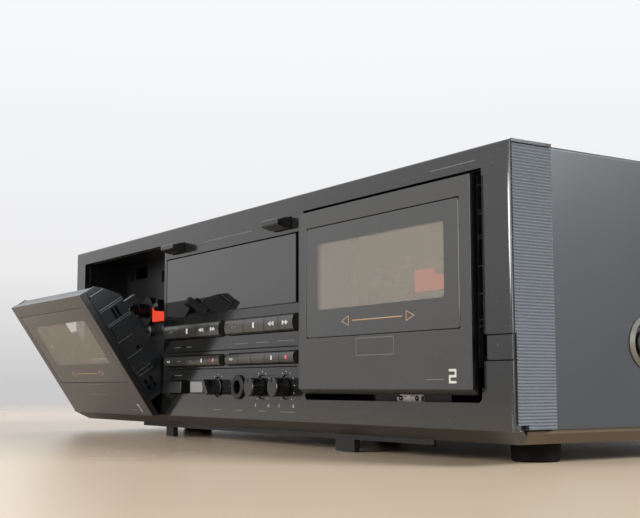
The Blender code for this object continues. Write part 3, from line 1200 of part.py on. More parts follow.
def build_headphone_jack():
    """Flanged barrel with a plug bore that is closed at the back."""
    lip = JACK_BORE_RADIUS + EDGE
    barrel = JACK_HOLE_RADIUS - CLEAR
    profile = [(0, -JACK_BORE_DEPTH), (JACK_BORE_RADIUS, -JACK_BORE_DEPTH), (JACK_BORE_RADIUS, EDGE),
               (lip, JACK_RING_PROUD), (JACK_RING_RADIUS - EDGE, JACK_RING_PROUD),
               (JACK_RING_RADIUS, JACK_RING_PROUD - EDGE), (JACK_RING_RADIUS, CLEAR), (barrel, CLEAR),
               (barrel, -JACK_BACK_Y), (0, -JACK_BACK_Y)]
    return smooth(turned("headphone_jack", profile, facing_front(JACK_X, 0, KNOB_Z), BLACK))


def build_line_jack_block():
    """Block inside the rear panel whose four barrels stand out through it."""
    low = (SOCKET_CENTRE_X - SOCKET_BLOCK_HALF, REAR_Y - CLEAR - SOCKET_BLOCK_DEPTH,
           SOCKET_CENTRE_Z - SOCKET_BLOCK_HALF)
    high = (SOCKET_CENTRE_X + SOCKET_BLOCK_HALF, REAR_Y - CLEAR, SOCKET_CENTRE_Z + SOCKET_BLOCK_HALF)
    block = boxes("line_jack_block", [(low, high)], BLACK)
    start = REAR_Y - CLEAR - BITE
    length = REAR_MOST_Y - start
    barrels = [((x, start, z), length, SOCKET_RADIUS) for x, z in socket_places()]
    return join(block, rods("line_jack_barrels", "Y", barrels))


def build_mains_inlet():
    """Two-pin inlet: body through the rear panel, flange outside it, pins in a cavity."""
    outside = REAR_Y + REAR_SHEET + CLEAR
    rear = outside + INLET_FLANGE
    body = boxes("mains_inlet", [((INLET_X - INLET_HALF_WIDTH, rear - INLET_FLANGE / 2 - INLET_DEPTH,
                                   INLET_Z - INLET_HALF_HEIGHT),
                                  (INLET_X + INLET_HALF_WIDTH, rear - INLET_FLANGE / 2,
                                   INLET_Z + INLET_HALF_HEIGHT))], BLACK)
    wide = INLET_HALF_WIDTH + INLET_FLANGE_MARGIN
    tall = INLET_HALF_HEIGHT + INLET_FLANGE_MARGIN
    flange = boxes("inlet_flange", [((INLET_X - wide, outside, INLET_Z - tall),
                                     (INLET_X + wide, rear, INLET_Z + tall))])
    cavity = boxes("inlet_cavity", [((INLET_X - INLET_HALF_WIDTH + INLET_WALL, rear - INLET_CAVITY_DEPTH,
                                      INLET_Z - INLET_HALF_HEIGHT + INLET_WALL),
                                     (INLET_X + INLET_HALF_WIDTH - INLET_WALL, rear + OVERRUN,
                                      INLET_Z + INLET_HALF_HEIGHT - INLET_WALL))])
    pins = [((INLET_X + side * INLET_PIN_SPACING / 2, rear - INLET_CAVITY_DEPTH - BITE, INLET_Z),
             INLET_CAVITY_DEPTH - BITE, INLET_PIN_RADIUS) for side in (-1, 1)]
    join(body, flange)
    cut(body, cavity)
    return join(body, rods("inlet_pins", "Y", pins, steps=SMALL_STEPS // 2))


def build_main_board():
    low = TRAY_FLOOR_Z + BOSS_HEIGHT + CLEAR
    return boxes("main_board", [((BOARD_LEFT_X, BOARD_FRONT_Y, low),
                                 (BOARD_RIGHT_X, BOARD_REAR_Y, low + BOARD_THICK))], BOARD_GREEN)


def build_transformer():
    """Laminated core on the tray with its coil standing out front and back."""
    low = TRAY_FLOOR_Z + CLEAR
    core = boxes("power_transformer", [((CORE_LEFT_X, CORE_FRONT_Y, low),
                                        (CORE_LEFT_X + CORE_WIDTH, CORE_FRONT_Y + CORE_DEPTH,
                                         low + CORE_HEIGHT))], BARE_STEEL)
    coil = boxes("transformer_coil", [((CORE_LEFT_X + COIL_MARGIN, CORE_FRONT_Y - COIL_PROUD, low + COIL_MARGIN),
                                       (CORE_LEFT_X + CORE_WIDTH - COIL_MARGIN,
                                        CORE_FRONT_Y + CORE_DEPTH + COIL_PROUD, low + CORE_HEIGHT - COIL_MARGIN))])
    return join(break_edges(core, EDGE), coil)


def build_cover_screws():
    """Screw sunk in a broad cup washer through each side of the cover."""
    face = SCREW_HEAD - SCREW_CUP_FLOOR
    under = -SCREW_CUP_FLOOR - SCREW_CUP_WALL
    profile = [(0, face), (SCREW_HEAD_RADIUS - EDGE, face), (SCREW_HEAD_RADIUS, face - EDGE),
               (SCREW_HEAD_RADIUS, -SCREW_CUP_FLOOR), (SCREW_CUP_THROAT, -SCREW_CUP_FLOOR),
               (SCREW_CUP_RIM, SCREW_CUP_RISE), (SCREW_CUP_RADIUS, 0), (SCREW_CUP_BODY, 0),
               (SCREW_CUP_BODY, under), (SCREW_SHANK_RADIUS, under),
               (SCREW_SHANK_RADIUS, under - SCREW_SHANK), (0, under - SCREW_SHANK)]
    for name, side in (("cover_screw_left", -1), ("cover_screw_right", 1)):
        turn = Matrix.Rotation(side * math.pi / 2, 4, "Y")
        place = Matrix.Translation(frame(side * (COVER_HALF + CLEAR), SCREW_Y, SCREW_Z)) @ turn
        screw = turned(name, profile, place, BARE_STEEL, steps=SMALL_STEPS)
        outside = COVER_HALF + CLEAR + face
        slot_low = (outside - SCREW_HEAD / 2, SCREW_Y - SCREW_SLOT_WIDTH / 2, SCREW_Z - SCREW_HEAD_RADIUS - BITE)
        slot_high = (outside + BITE, SCREW_Y + SCREW_SLOT_WIDTH / 2, SCREW_Z + SCREW_HEAD_RADIUS + BITE)
        slot = mirror_boxes(slot_low, slot_high)[0 if side > 0 else 1]
        smooth(cut(screw, boxes(name + "_slot", [slot])))


def build_deck():
    build_front_panel()
    build_display_window()
    build_side_trims()
    build_top_cover()
    build_bottom_chassis()
    build_rear_panel()
    build_feet()
    build_deck_mechanism("a", -1, DOOR_OPEN_ANGLE)
    build_deck_mechanism("b", 1, 0)
    build_keys()
    build_eject_tabs()
    build_button("power_button", POWER_LEFT_X, POWER_WIDTH, POWER_BOTTOM_Z, POWER_HEIGHT, POWER_PROUD, BLACK)
    build_button("timer_button", TIMER_LEFT_X, TIMER_WIDTH, TIMER_BOTTOM_Z, TIMER_HEIGHT, TIMER_PROUD, PALE_GREY)
    build_knob("bias_knob", BIAS_X)
    build_knob("level_knob", LEVEL_X)
    build_reduction_knob()
    build_headphone_jack()
    build_line_jack_block()
    build_mains_inlet()
    build_main_board()
    build_transformer()
    build_cover_screws()


build_deck()
bpy.context.view_layer.update()
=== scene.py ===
"""Looks of the cassette deck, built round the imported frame."""
import math

import bmesh
import bpy
from mathutils import Matrix, Vector
from mathutils.bvhtree import BVHTree
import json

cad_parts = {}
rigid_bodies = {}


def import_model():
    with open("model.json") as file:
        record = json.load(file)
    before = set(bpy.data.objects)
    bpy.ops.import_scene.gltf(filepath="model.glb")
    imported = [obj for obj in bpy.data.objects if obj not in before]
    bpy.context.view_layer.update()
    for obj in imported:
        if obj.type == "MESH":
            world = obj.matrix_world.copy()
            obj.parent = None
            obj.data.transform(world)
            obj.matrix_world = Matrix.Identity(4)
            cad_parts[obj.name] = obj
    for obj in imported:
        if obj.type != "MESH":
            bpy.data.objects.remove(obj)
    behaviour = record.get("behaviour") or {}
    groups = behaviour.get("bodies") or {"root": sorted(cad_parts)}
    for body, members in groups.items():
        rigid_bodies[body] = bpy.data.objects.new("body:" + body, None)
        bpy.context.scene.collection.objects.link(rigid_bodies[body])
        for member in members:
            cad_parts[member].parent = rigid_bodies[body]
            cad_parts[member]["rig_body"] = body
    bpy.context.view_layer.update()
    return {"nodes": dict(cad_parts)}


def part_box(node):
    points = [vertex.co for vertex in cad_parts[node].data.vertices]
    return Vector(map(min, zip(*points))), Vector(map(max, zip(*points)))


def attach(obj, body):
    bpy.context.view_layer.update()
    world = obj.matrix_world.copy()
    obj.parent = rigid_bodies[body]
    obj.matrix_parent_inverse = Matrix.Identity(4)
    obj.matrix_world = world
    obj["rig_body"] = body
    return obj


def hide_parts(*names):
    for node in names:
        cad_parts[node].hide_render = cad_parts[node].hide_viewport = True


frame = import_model()
nodes = frame["nodes"]

# The front panel's own frame: x to the right from its middle, y back from its face, z up from its foot.
SHIFT = Vector((0, -0.1175770, 0.013))
HINGE = Vector((0, 0.0206, 0.004)) + SHIFT
OPEN = math.radians(34)
DOOR_X = 0.1367
DOOR_HALF = 0.0602
SWUNG = Matrix.Translation(HINGE) @ Matrix.Rotation(OPEN, 4, "X") @ Matrix.Translation(-HINGE)
STILL = Matrix.Identity(4)


# ---------------------------------------------------------------- materials

def linear(red, green, blue):
    values = []
    for channel in (red, green, blue):
        share = channel / 255
        values.append(share / 12.92 if share <= 0.04045 else ((share + 0.055) / 1.055) ** 2.4)
    return values


def finish(name, colour, rough, metal=0.0, vary=0.10, rough_vary=0.05, cloud=45, grain=0.00001,
           grain_scale=2600, stretch=(1, 1, 1), specular=0.5, alpha=1.0, specks=0.0, ior=1.5, second=()):
    """Node material: cloudy colour and gloss, fine grain as bump, and dust specks.

    second lists parts of the surface, told apart by where they lie, that have another colour, metal
    and gloss: (axis, centre, half_width, colour, metal, roughness). X counts to both sides of the middle.
    """
    mat = bpy.data.materials.new(name)
    mat.use_nodes = True
    tree = mat.node_tree
    link = tree.links.new
    shader = tree.nodes["Principled BSDF"]
    coords = tree.nodes.new("ShaderNodeTexCoord")
    mapping = tree.nodes.new("ShaderNodeMapping")
    mapping.inputs["Scale"].default_value = stretch
    link(coords.outputs["Object"], mapping.inputs["Vector"])
    big = tree.nodes.new("ShaderNodeTexNoise")
    big.inputs["Scale"].default_value = cloud
    big.inputs["Detail"].default_value = 4
    link(mapping.outputs[0], big.inputs["Vector"])
    fine = tree.nodes.new("ShaderNodeTexNoise")
    fine.inputs["Scale"].default_value = grain_scale
    fine.inputs["Detail"].default_value = 3
    link(mapping.outputs[0], fine.inputs["Vector"])
    base = linear(*colour)
    mix = tree.nodes.new("ShaderNodeMix")
    mix.data_type = "RGBA"
    mix.inputs["A"].default_value = [c * (1 - vary) for c in base] + [1]
    mix.inputs["B"].default_value = [min(1, c * (1 + vary)) for c in base] + [1]
    link(big.outputs["Fac"], mix.inputs["Factor"])
    colour_out = mix.outputs["Result"]
    if specks:
        dust = tree.nodes.new("ShaderNodeTexNoise")
        dust.inputs["Scale"].default_value = 900
        dust.inputs["Detail"].default_value = 1
        link(coords.outputs["Object"], dust.inputs["Vector"])
        ramp = tree.nodes.new("ShaderNodeValToRGB")
        ramp.color_ramp.elements[0].position = 0.72
        ramp.color_ramp.elements[1].position = 0.78
        ramp.color_ramp.elements[0].color = (0, 0, 0, 1)
        ramp.color_ramp.elements[1].color = (specks, specks, specks, 1)
        link(dust.outputs["Fac"], ramp.inputs["Fac"])
        dusty = tree.nodes.new("ShaderNodeMix")
        dusty.data_type = "RGBA"
        dusty.inputs["B"].default_value = (0.30, 0.29, 0.27, 1)
        link(ramp.outputs["Color"], dusty.inputs["Factor"])
        link(colour_out, dusty.inputs["A"])
        colour_out = dusty.outputs["Result"]
    spread = tree.nodes.new("ShaderNodeMapRange")
    spread.inputs["To Min"].default_value = max(0.02, rough - rough_vary)
    spread.inputs["To Max"].default_value = min(1, rough + rough_vary)
    link(big.outputs["Fac"], spread.inputs["Value"])
    rough_out = spread.outputs["Result"]
    metal_out = None
    for axis, centre, half, other, other_metal, other_rough in second:
        apart = tree.nodes.new("ShaderNodeSeparateXYZ")
        link(coords.outputs["Object"], apart.inputs[0])
        both = tree.nodes.new("ShaderNodeMath")
        both.operation = "ABSOLUTE"
        link(apart.outputs[axis], both.inputs[0])
        near = tree.nodes.new("ShaderNodeMath")
        near.operation = "COMPARE"
        near.inputs[1].default_value = centre
        near.inputs[2].default_value = half
        link(both.outputs[0], near.inputs[0])
        part = tree.nodes.new("ShaderNodeMix")
        part.data_type = "RGBA"
        part.inputs["B"].default_value = linear(*other) + [1]
        link(near.outputs[0], part.inputs["Factor"])
        link(colour_out, part.inputs["A"])
        colour_out = part.outputs["Result"]
        gloss = tree.nodes.new("ShaderNodeMix")
        gloss.inputs["B"].default_value = other_rough
        link(near.outputs[0], gloss.inputs["Factor"])
        link(rough_out, gloss.inputs["A"])
        rough_out = gloss.outputs["Result"]
        if metal != other_metal:
            metals = tree.nodes.new("ShaderNodeMix")
            metals.inputs["A"].default_value = metal
            metals.inputs["B"].default_value = other_metal
            link(near.outputs[0], metals.inputs["Factor"])
            metal_out = metals.outputs["Result"]
    if metal_out:
        link(metal_out, shader.inputs["Metallic"])
    else:
        shader.inputs["Metallic"].default_value = metal
    link(colour_out, shader.inputs["Base Color"])
    link(rough_out, shader.inputs["Roughness"])
    if grain:
        bump = tree.nodes.new("ShaderNodeBump")
        bump.inputs["Strength"].default_value = 0.5
        bump.inputs["Distance"].default_value = grain
        link(fine.outputs["Fac"], bump.inputs["Height"])
        link(bump.outputs["Normal"], shader.inputs["Normal"])
    shader.inputs["Specular IOR Level"].default_value = specular
    shader.inputs["IOR"].default_value = ior
    shader.inputs["Alpha"].default_value = alpha
    return mat


# The strip of the front panel below its foot, the chin, is near black and rougher: painted shade under the deck.
FACIA = finish("facia_plastic", (19, 19, 18), 0.13, rough_vary=0.02, specks=0.25, grain=0.000003, ior=1.75,
               second=[("Z", 0.0060, 0.0068, (8, 8, 8), 0, 0.5)])
# Narrow bands at the side edges of both doors are near black: painted shade on the door sides.
DOOR_FACE = finish("door_plastic", (50, 50, 49), 0.24, rough_vary=0.03, specks=0.25, grain=0.000004, ior=1.65,
                   second=[("X", 0.1969, 0.0006, (8, 8, 9), 0, 0.3), ("X", 0.0765, 0.0006, (8, 8, 9), 0, 0.3)])
MASK = finish("pane_print", (55, 55, 55), 0.10, rough_vary=0.03, grain=0, ior=1.70)
CLEAR_PANE = finish("smoked_pane", (170, 163, 152), 0.07, rough_vary=0.02, grain=0, alpha=0.36, vary=0.04, ior=1.6)
DISPLAY = finish("display_gloss", (7, 7, 8), 0.02, rough_vary=0.0, grain=0, vary=0.02, ior=2.0)
COVER = finish("cover_paint", (34, 37, 42), 0.34, grain=0.000010, grain_scale=1800, vary=0.06, cloud=14, ior=1.55)
TRIM = finish("trim_paint", (88, 94, 101), 0.36, vary=0.08, cloud=120, ior=1.5)
# The low band of the chassis, round its rail and legs, is near black and rough.
CHASSIS = finish("chassis_zinc", (87, 77, 62), 0.34, metal=0.5, cloud=30,
                 second=[("Z", 0.0033, 0.0044, (5, 5, 5), 0, 0.8)])
BLACK = finish("black_plastic", (8, 8, 9), 0.40, ior=1.45)
DARK_BUTTON = finish("dark_button", (9, 9, 9), 0.32, ior=1.42)
WELL_BLACK = finish("well_plastic", (13, 13, 14), 0.34, ior=1.45)
VOID = finish("shadow_black", (3, 3, 3), 0.9, grain=0, specular=0.1)
HOLDER = finish("holder_plastic", (24, 28, 33), 0.26, vary=0.35, cloud=70, ior=1.65)
# Pale strips on the upper edges of the holder ribs: painted highlights.
RIB_HIGHLIGHT = finish("rib_highlights", (120, 127, 134), 0.3, vary=0.3, cloud=120)
KEY = finish("key_plastic", (44, 43, 41), 0.24, grain=0.000004, ior=1.70)
BUTTON = finish("pale_key", (128, 128, 128), 0.35, grain=0.000004)
KNOB = finish("knob_plastic", (18, 19, 20), 0.22, grain=0.000004, ior=1.6)
RUBBER = finish("foot_rubber", (4, 4, 4), 0.62, grain=0.00003, grain_scale=900, specular=0.12)
RED = finish("red_moulding", (255, 72, 36), 0.40, vary=0.06)
STEEL = finish("bright_steel", (190, 188, 182), 0.26, metal=1.0, stretch=(1, 1, 6), cloud=60)
PEG = finish("peg_zinc", (120, 122, 124), 0.36, metal=0.6, cloud=200)
ZINC = finish("zinc_screw", (128, 126, 120), 0.34, metal=0.4, cloud=200,
              second=[("X", 0.2117, 0.0016, (10, 10, 10), 0, 0.4)])
DARK_SCREW = finish("black_screw", (24, 24, 25), 0.3, metal=0.4, cloud=200)
HEAD = finish("head_carriage", (8, 8, 8), 0.3, cloud=60, second=[("X", 0.1367, 0.0083, (196, 192, 184), 1.0, 0.24)])
BOARD = finish("circuit_board", (120, 96, 52), 0.5, vary=0.2, cloud=160)
CORE = finish("transformer_core", (70, 66, 60), 0.5, metal=0.5, stretch=(1, 60, 1), cloud=50)
JACK_WHITE = finish("jack_white", (206, 204, 198), 0.4, cloud=200)
JACK_RED = finish("jack_red", (168, 34, 30), 0.4, cloud=200)
WHITE_PRINT = finish("white_print", (198, 196, 190), 0.45, grain=0, vary=0.06, cloud=700)
GREY_PRINT = finish("grey_print", (104, 103, 99), 0.45, grain=0, vary=0.1, cloud=700)
TAN_PRINT = finish("tan_print", (176, 138, 100), 0.4, grain=0, vary=0.1, cloud=700)
PINK_PRINT = finish("pink_print", (214, 96, 104), 0.45, grain=0, vary=0.06, cloud=700)

NODE_FINISH = {
    "bottom_chassis": CHASSIS, "top_cover": COVER, "rear_panel": COVER, "front_panel": FACIA,
    "display_window": DISPLAY, "side_trim_left": TRIM, "side_trim_right": TRIM,
    "foot_front_left": RUBBER, "foot_front_right": RUBBER, "foot_rear_left": RUBBER, "foot_rear_right": RUBBER,
    "mechanism_frame_a": WELL_BLACK, "mechanism_frame_b": WELL_BLACK, "idler_cover_a": RED, "idler_cover_b": RED,
    "reel_spindle_a_left": BLACK, "reel_spindle_a_right": BLACK,
    "reel_spindle_b_left": BLACK, "reel_spindle_b_right": BLACK,
    "head_block_a": HEAD, "head_block_b": HEAD, "headphone_jack": BLACK, "line_jack_block": BLACK,
    "mains_inlet": BLACK, "main_board": BOARD, "power_transformer": CORE,
    "cover_screw_left": ZINC, "cover_screw_right": ZINC,
    "door_panel_a": DOOR_FACE, "door_panel_b": DOOR_FACE, "cassette_holder_a": HOLDER, "cassette_holder_b": HOLDER,
    "eject_tab_a": KNOB, "eject_tab_b": KNOB, "power_button": DARK_BUTTON, "timer_button": BUTTON,
    "noise_reduction_knob": KNOB, "bias_knob": KNOB, "level_knob": KNOB,
}


# ---------------------------------------------------------------- modifiers on the frame's own nodes

def smoothing_group():
    """Nodes that join split corners and smooth all edges but the sharp ones."""
    group = bpy.data.node_groups.new("smooth_edges", "GeometryNodeTree")
    group.interface.new_socket("Geometry", in_out="INPUT", socket_type="NodeSocketGeometry")
    group.interface.new_socket("Geometry", in_out="OUTPUT", socket_type="NodeSocketGeometry")
    start = group.nodes.new("NodeGroupInput")
    end = group.nodes.new("NodeGroupOutput")
    drop = group.nodes.new("GeometryNodeRemoveAttribute")
    drop.inputs["Name"].default_value = "custom_normal"
    merge = group.nodes.new("GeometryNodeMergeByDistance")
    merge.inputs["Distance"].default_value = 0.00001
    angle = group.nodes.new("GeometryNodeInputMeshEdgeAngle")
    sharp = group.nodes.new("FunctionNodeCompare")
    sharp.data_type = "FLOAT"
    sharp.operation = "GREATER_THAN"
    sharp.inputs["B"].default_value = math.radians(32)
    faces = group.nodes.new("GeometryNodeSetShadeSmooth")
    faces.domain = "FACE"
    edges = group.nodes.new("GeometryNodeSetShadeSmooth")
    edges.domain = "EDGE"
    edges.inputs["Shade Smooth"].default_value = False
    link = group.links.new
    link(start.outputs[0], drop.inputs["Geometry"])
    link(drop.outputs[0], merge.inputs["Geometry"])
    link(merge.outputs[0], faces.inputs["Geometry"])
    link(faces.outputs[0], edges.inputs["Geometry"])
    link(angle.outputs["Unsigned Angle"], sharp.inputs["A"])
    link(sharp.outputs["Result"], edges.inputs["Selection"])
    link(edges.outputs[0], end.inputs[0])
    return group


SMOOTH = smoothing_group()
BEVELLED = {
    "cassette_holder_a": 0.00025, "cassette_holder_b": 0.00025,
    "front_panel": 0.0004, "door_panel_a": 0.0005, "door_panel_b": 0.0005, "eject_tab_a": 0.0004,
    "eject_tab_b": 0.0004, "power_button": 0.0004, "timer_button": 0.0004, "top_cover": 0.0006,
    "idler_cover_a": 0.0003, "idler_cover_b": 0.0003, "mains_inlet": 0.0003, "line_jack_block": 0.0003,
}


def dress(name):
    thing = nodes[name]
    mat = NODE_FINISH.get(name, KEY)
    thing.data.materials.clear()
    thing.data.materials.append(mat)
    weld = thing.modifiers.new("weld", "WELD")
    weld.merge_threshold = 0.00001
    width = BEVELLED.get(name)
    if width:
        flat = thing.modifiers.new("flat", "DECIMATE")
        flat.decimate_type = "DISSOLVE"
        flat.angle_limit = math.radians(0.5)
        bevel = thing.modifiers.new("bevel", "BEVEL")
        bevel.width = width
        bevel.segments = 3
        bevel.limit_method = "ANGLE"
        bevel.angle_limit = math.radians(35)
        bevel.use_clamp_overlap = True
    smooth = thing.modifiers.new("smooth", "NODES")
    smooth.node_group = SMOOTH
    weighted = thing.modifiers.new("weighted", "WEIGHTED_NORMAL")
    weighted.keep_sharp = True
    weighted.weight = 80


for node_name in nodes:
    dress(node_name)


# ---------------------------------------------------------------- making pieces

def body_of(node):
    return nodes[node]["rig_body"]


def piece(name, bm, mats, body, replaced=(), smooth=32, place=STILL):
    """Object from a bmesh in the front panel's frame, set in place and riding on a body."""
    bm.transform(place @ Matrix.Translation(SHIFT))
    bmesh.ops.recalc_face_normals(bm, faces=bm.faces)
    limit = math.radians(smooth)
    for face in bm.faces:
        face.smooth = True
    for edge in bm.edges:
        edge.smooth = edge.calc_face_angle(0) < limit
    mesh = bpy.data.meshes.new(name)
    bm.to_mesh(mesh)
    bm.free()
    for mat in mats if isinstance(mats, (list, tuple)) else [mats]:
        mesh.materials.append(mat)
    thing = bpy.data.objects.new(name, mesh)
    bpy.context.scene.collection.objects.link(thing)
    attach(thing, body)
    if replaced:
        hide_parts(*replaced)
    return thing


def rounded(x0, z0, x1, z1, radius, steps=5):
    """Corner points of a rounded rectangle, anticlockwise."""
    points = []
    for cx, cz, start in ((x1 - radius, z0 + radius, -90), (x1 - radius, z1 - radius, 0),
                          (x0 + radius, z1 - radius, 90), (x0 + radius, z0 + radius, 180)):
        for step in range(steps + 1):
            angle = math.radians(start + 90 * step / steps)
            points.append((cx + radius * math.cos(angle), cz + radius * math.sin(angle)))
    return points


def ring_faces(bm, first, second, slot=0):
    count = len(first)
    for index in range(count):
        after = (index + 1) % count
        face = bm.faces.new((first[index], first[after], second[after], second[index]))
        face.material_index = slot


def caster(node):
    mesh = nodes[node].data
    return BVHTree.FromPolygons([v.co.copy() for v in mesh.vertices], [list(p.vertices) for p in mesh.polygons])


CASTERS = {}


def surface_y(node, x, z, place):
    """y of the front of a node at a point of the front, in the closed front's frame."""
    if node not in CASTERS:
        CASTERS[node] = caster(node)
    start = place @ (Vector((x, -0.06, z)) + SHIFT)
    way = place.to_3x3() @ Vector((0, 1, 0))
    hit = CASTERS[node].ray_cast(start, way)
    if hit[0] is None:
        raise RuntimeError(f"no surface of {node} at {x:.4f}, {z:.4f}")
    return hit[3] - 0.06


def marks(name, node, shapes, mat, place=STILL, step=0.0012, lift=0.00004):
    """Thin printed plates that follow the face of a node. Each shape is a list of x, z corners."""
    bm = bmesh.new()
    for shape in shapes:
        face = bm.faces.new([bm.verts.new((x, 0, z)) for x, z in shape])
        if face.normal.y > 0 or face.calc_area() == 0:
            face.normal_flip()
    bmesh.ops.triangulate(bm, faces=bm.faces)
    for _ in range(6):
        long_edges = [e for e in bm.edges if e.calc_length() > step]
        if not long_edges:
            break
        bmesh.ops.subdivide_edges(bm, edges=long_edges, cuts=1)
        bmesh.ops.triangulate(bm, faces=bm.faces)
    top = list(bm.verts)
    for vert in top:
        vert.co.y = surface_y(node, vert.co.x, vert.co.z, place) - lift
    made = bmesh.ops.extrude_face_region(bm, geom=list(bm.faces))
    for vert in [g for g in made["geom"] if isinstance(g, bmesh.types.BMVert)]:
        vert.co.y += lift * 3
    return piece(name, bm, mat, body_of(node), place=place)


def box_shape(x0, z0, x1, z1):
    return [(x0, z0), (x1, z0), (x1, z1), (x0, z1)]


def outline_shapes(x0, z0, x1, z1, line):
    """Four strips round a rectangle."""
    return [box_shape(x0, z0, x1, z0 + line), box_shape(x0, z1 - line, x1, z1),
            box_shape(x0, z0 + line, x0 + line, z1 - line), box_shape(x1 - line, z0 + line, x1, z1 - line)]


def triangle(x, z, width, height, way):
    """Solid triangle whose tip points left (-1) or right (+1), centred on a point."""
    back = x - way * width / 2
    return [(back, z - way * height / 2), (x + way * width / 2, z), (back, z + way * height / 2)]


def open_triangle(x, z, width, height, way, line):
    """Outline of a triangle as three mitred strips of a given line thickness."""
    outer = [Vector(p) for p in triangle(x, z, width, height, way)]
    middle = (outer[0] + outer[1] + outer[2]) / 3
    inner = [middle + (p - middle) * (1 - 2.6 * line / height) for p in outer]
    return [[tuple(outer[i]), tuple(outer[i - 2]), tuple(inner[i - 2]), tuple(inner[i])] for i in range(3)]


def dot(x, z, radius, steps=10):
    return [(x + radius * math.cos(math.tau * i / steps), z + radius * math.sin(math.tau * i / steps))
            for i in range(steps)]


DIGIT_BARS = {
    "0": ((0, 0, 1, 0.1), (0, 1.9, 1, 2), (0, 0.1, 0.1, 1.9), (0.9, 0.1, 1, 1.9)),
    "1": ((0.45, 0, 0.55, 2), (0.15, 1.9, 0.45, 2)),
    "2": ((0, 0, 1, 0.1), (0, 0.1, 0.1, 0.95), (0, 0.95, 1, 1.05), (0.9, 1.05, 1, 1.9), (0, 1.9, 1, 2)),
}


def digit(char, x, z, size, line, broad=1.0):
    """Bars of a plain digit with its lower left corner at a point, and a given thickness of line."""
    def place(value, span, unit):
        whole = span * unit
        if value <= 0.15:
            return value / 0.1 * line if value < 0.12 else value * unit
        if value >= span - 0.11:
            return whole - (span - value) / 0.1 * line
        centre = round(value * 2) / 2 * unit
        return centre + (value - round(value * 2) / 2) / 0.1 * line
    shapes = []
    for x0, z0, x1, z1 in DIGIT_BARS[char]:
        shapes.append(box_shape(x + place(x0, 1, size * broad), z + place(z0, 2, size),
                                x + place(x1, 1, size * broad), z + place(z1, 2, size)))
    return shapes


def key_marks():
    for letter in "ab":
        for word in ("play", "stop", "rewind", "forward"):
            name = "key_" + word + "_" + letter
            low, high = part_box(name)
            x = (low.x + high.x) / 2
            z = (low.z + high.z) / 2 - SHIFT.z
            if word == "play":
                shapes = open_triangle(x - 0.0017, z, 0.0020, 0.0016, -1, 0.00028)
                shapes += open_triangle(x + 0.0017, z, 0.0020, 0.0016, 1, 0.00028)
                mat = GREY_PRINT
            elif word == "stop":
                shapes = [box_shape(x - 0.0009, z - 0.0014, x + 0.0009, z + 0.0014)]
                mat = WHITE_PRINT
            else:
                way = -1 if word == "rewind" else 1
                shapes = [triangle(x - 0.0014, z, 0.0028, 0.0024, way), triangle(x + 0.0014, z, 0.0028, 0.0024, way)]
                mat = WHITE_PRINT
            marks("mark_" + name, name, shapes, mat)
        for index in range(1, 6):
            name = "mode_key_" + letter + str(index)
            low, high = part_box(name)
            x = (low.x + high.x) / 2
            z = (low.z + high.z) / 2 - SHIFT.z
            mat = WHITE_PRINT
            if index == 5:
                shapes = [dot(x, z, 0.0010, 14)]
                mat = PINK_PRINT
            elif index == 4:
                shapes = [box_shape(x - 0.0007, z - 0.0010, x + 0.0007, z + 0.0010)]
            elif index == 1:
                shapes = [triangle(x - 0.0012, z, 0.0014, 0.0016, -1), triangle(x + 0.0012, z, 0.0014, 0.0016, 1)]
            elif letter == "a":
                shapes = [box_shape(x - 0.0017, z - 0.0002, x + 0.0017, z + 0.0002)]
                mat = GREY_PRINT
            else:
                continue
            marks("mark_" + name, name, shapes, mat)


# Middles of the two round knobs.
KNOB_X = (0.0375, 0.0600)
KNOB_Z = 0.01577


def facia_marks():
    rule = 0.00030
    lines = [box_shape(-0.0255, 0.0938, 0.0265, 0.0938 + rule), box_shape(0.1695, 0.1008, 0.1965, 0.1008 + rule)]
    for x0, x1 in ((-0.0125, -0.0035), (0.0105, 0.0180), (0.0335, 0.0415), (0.0545, 0.0665)):
        lines.append(box_shape(x0, 0.0040, x1, 0.0040 + rule))
    lines.append(box_shape(-0.0600, 0.0220, -0.0510, 0.0220 + rule))
    for x0, x1 in ((-0.0600, -0.0530), (-0.0460, -0.0390), (0.0100, 0.0235), (0.0310, 0.0440), (0.0520, 0.0670)):
        lines.append(box_shape(x0, 0.0375, x1, 0.0375 + rule))
    marks("print_rules", "front_panel", lines, GREY_PRINT, step=0.004)
    dots = []
    for x in KNOB_X:
        for index in range(11):
            angle = math.radians(-140 + 28 * index)
            dots.append(dot(x + 0.0074 * math.sin(angle), KNOB_Z + 0.0074 * math.cos(angle), 0.00028, 8))
    for angle in (-36, 0, 36):
        turn = math.radians(angle)
        dots.append(dot(-0.0082 + 0.0068 * math.sin(turn), KNOB_Z + 0.0068 * math.cos(turn), 0.00028, 8))
    marks("print_dots", "front_panel", dots, WHITE_PRINT)
    numbers = []
    for x in KNOB_X:
        numbers += digit("0", x - 0.0068, 0.0062, 0.0007, 0.0002)
        numbers += digit("1", x + 0.0052, 0.0062, 0.0007, 0.0002)
        numbers += digit("0", x + 0.0062, 0.0062, 0.0007, 0.0002)
    marks("print_numbers", "front_panel", numbers, WHITE_PRINT)


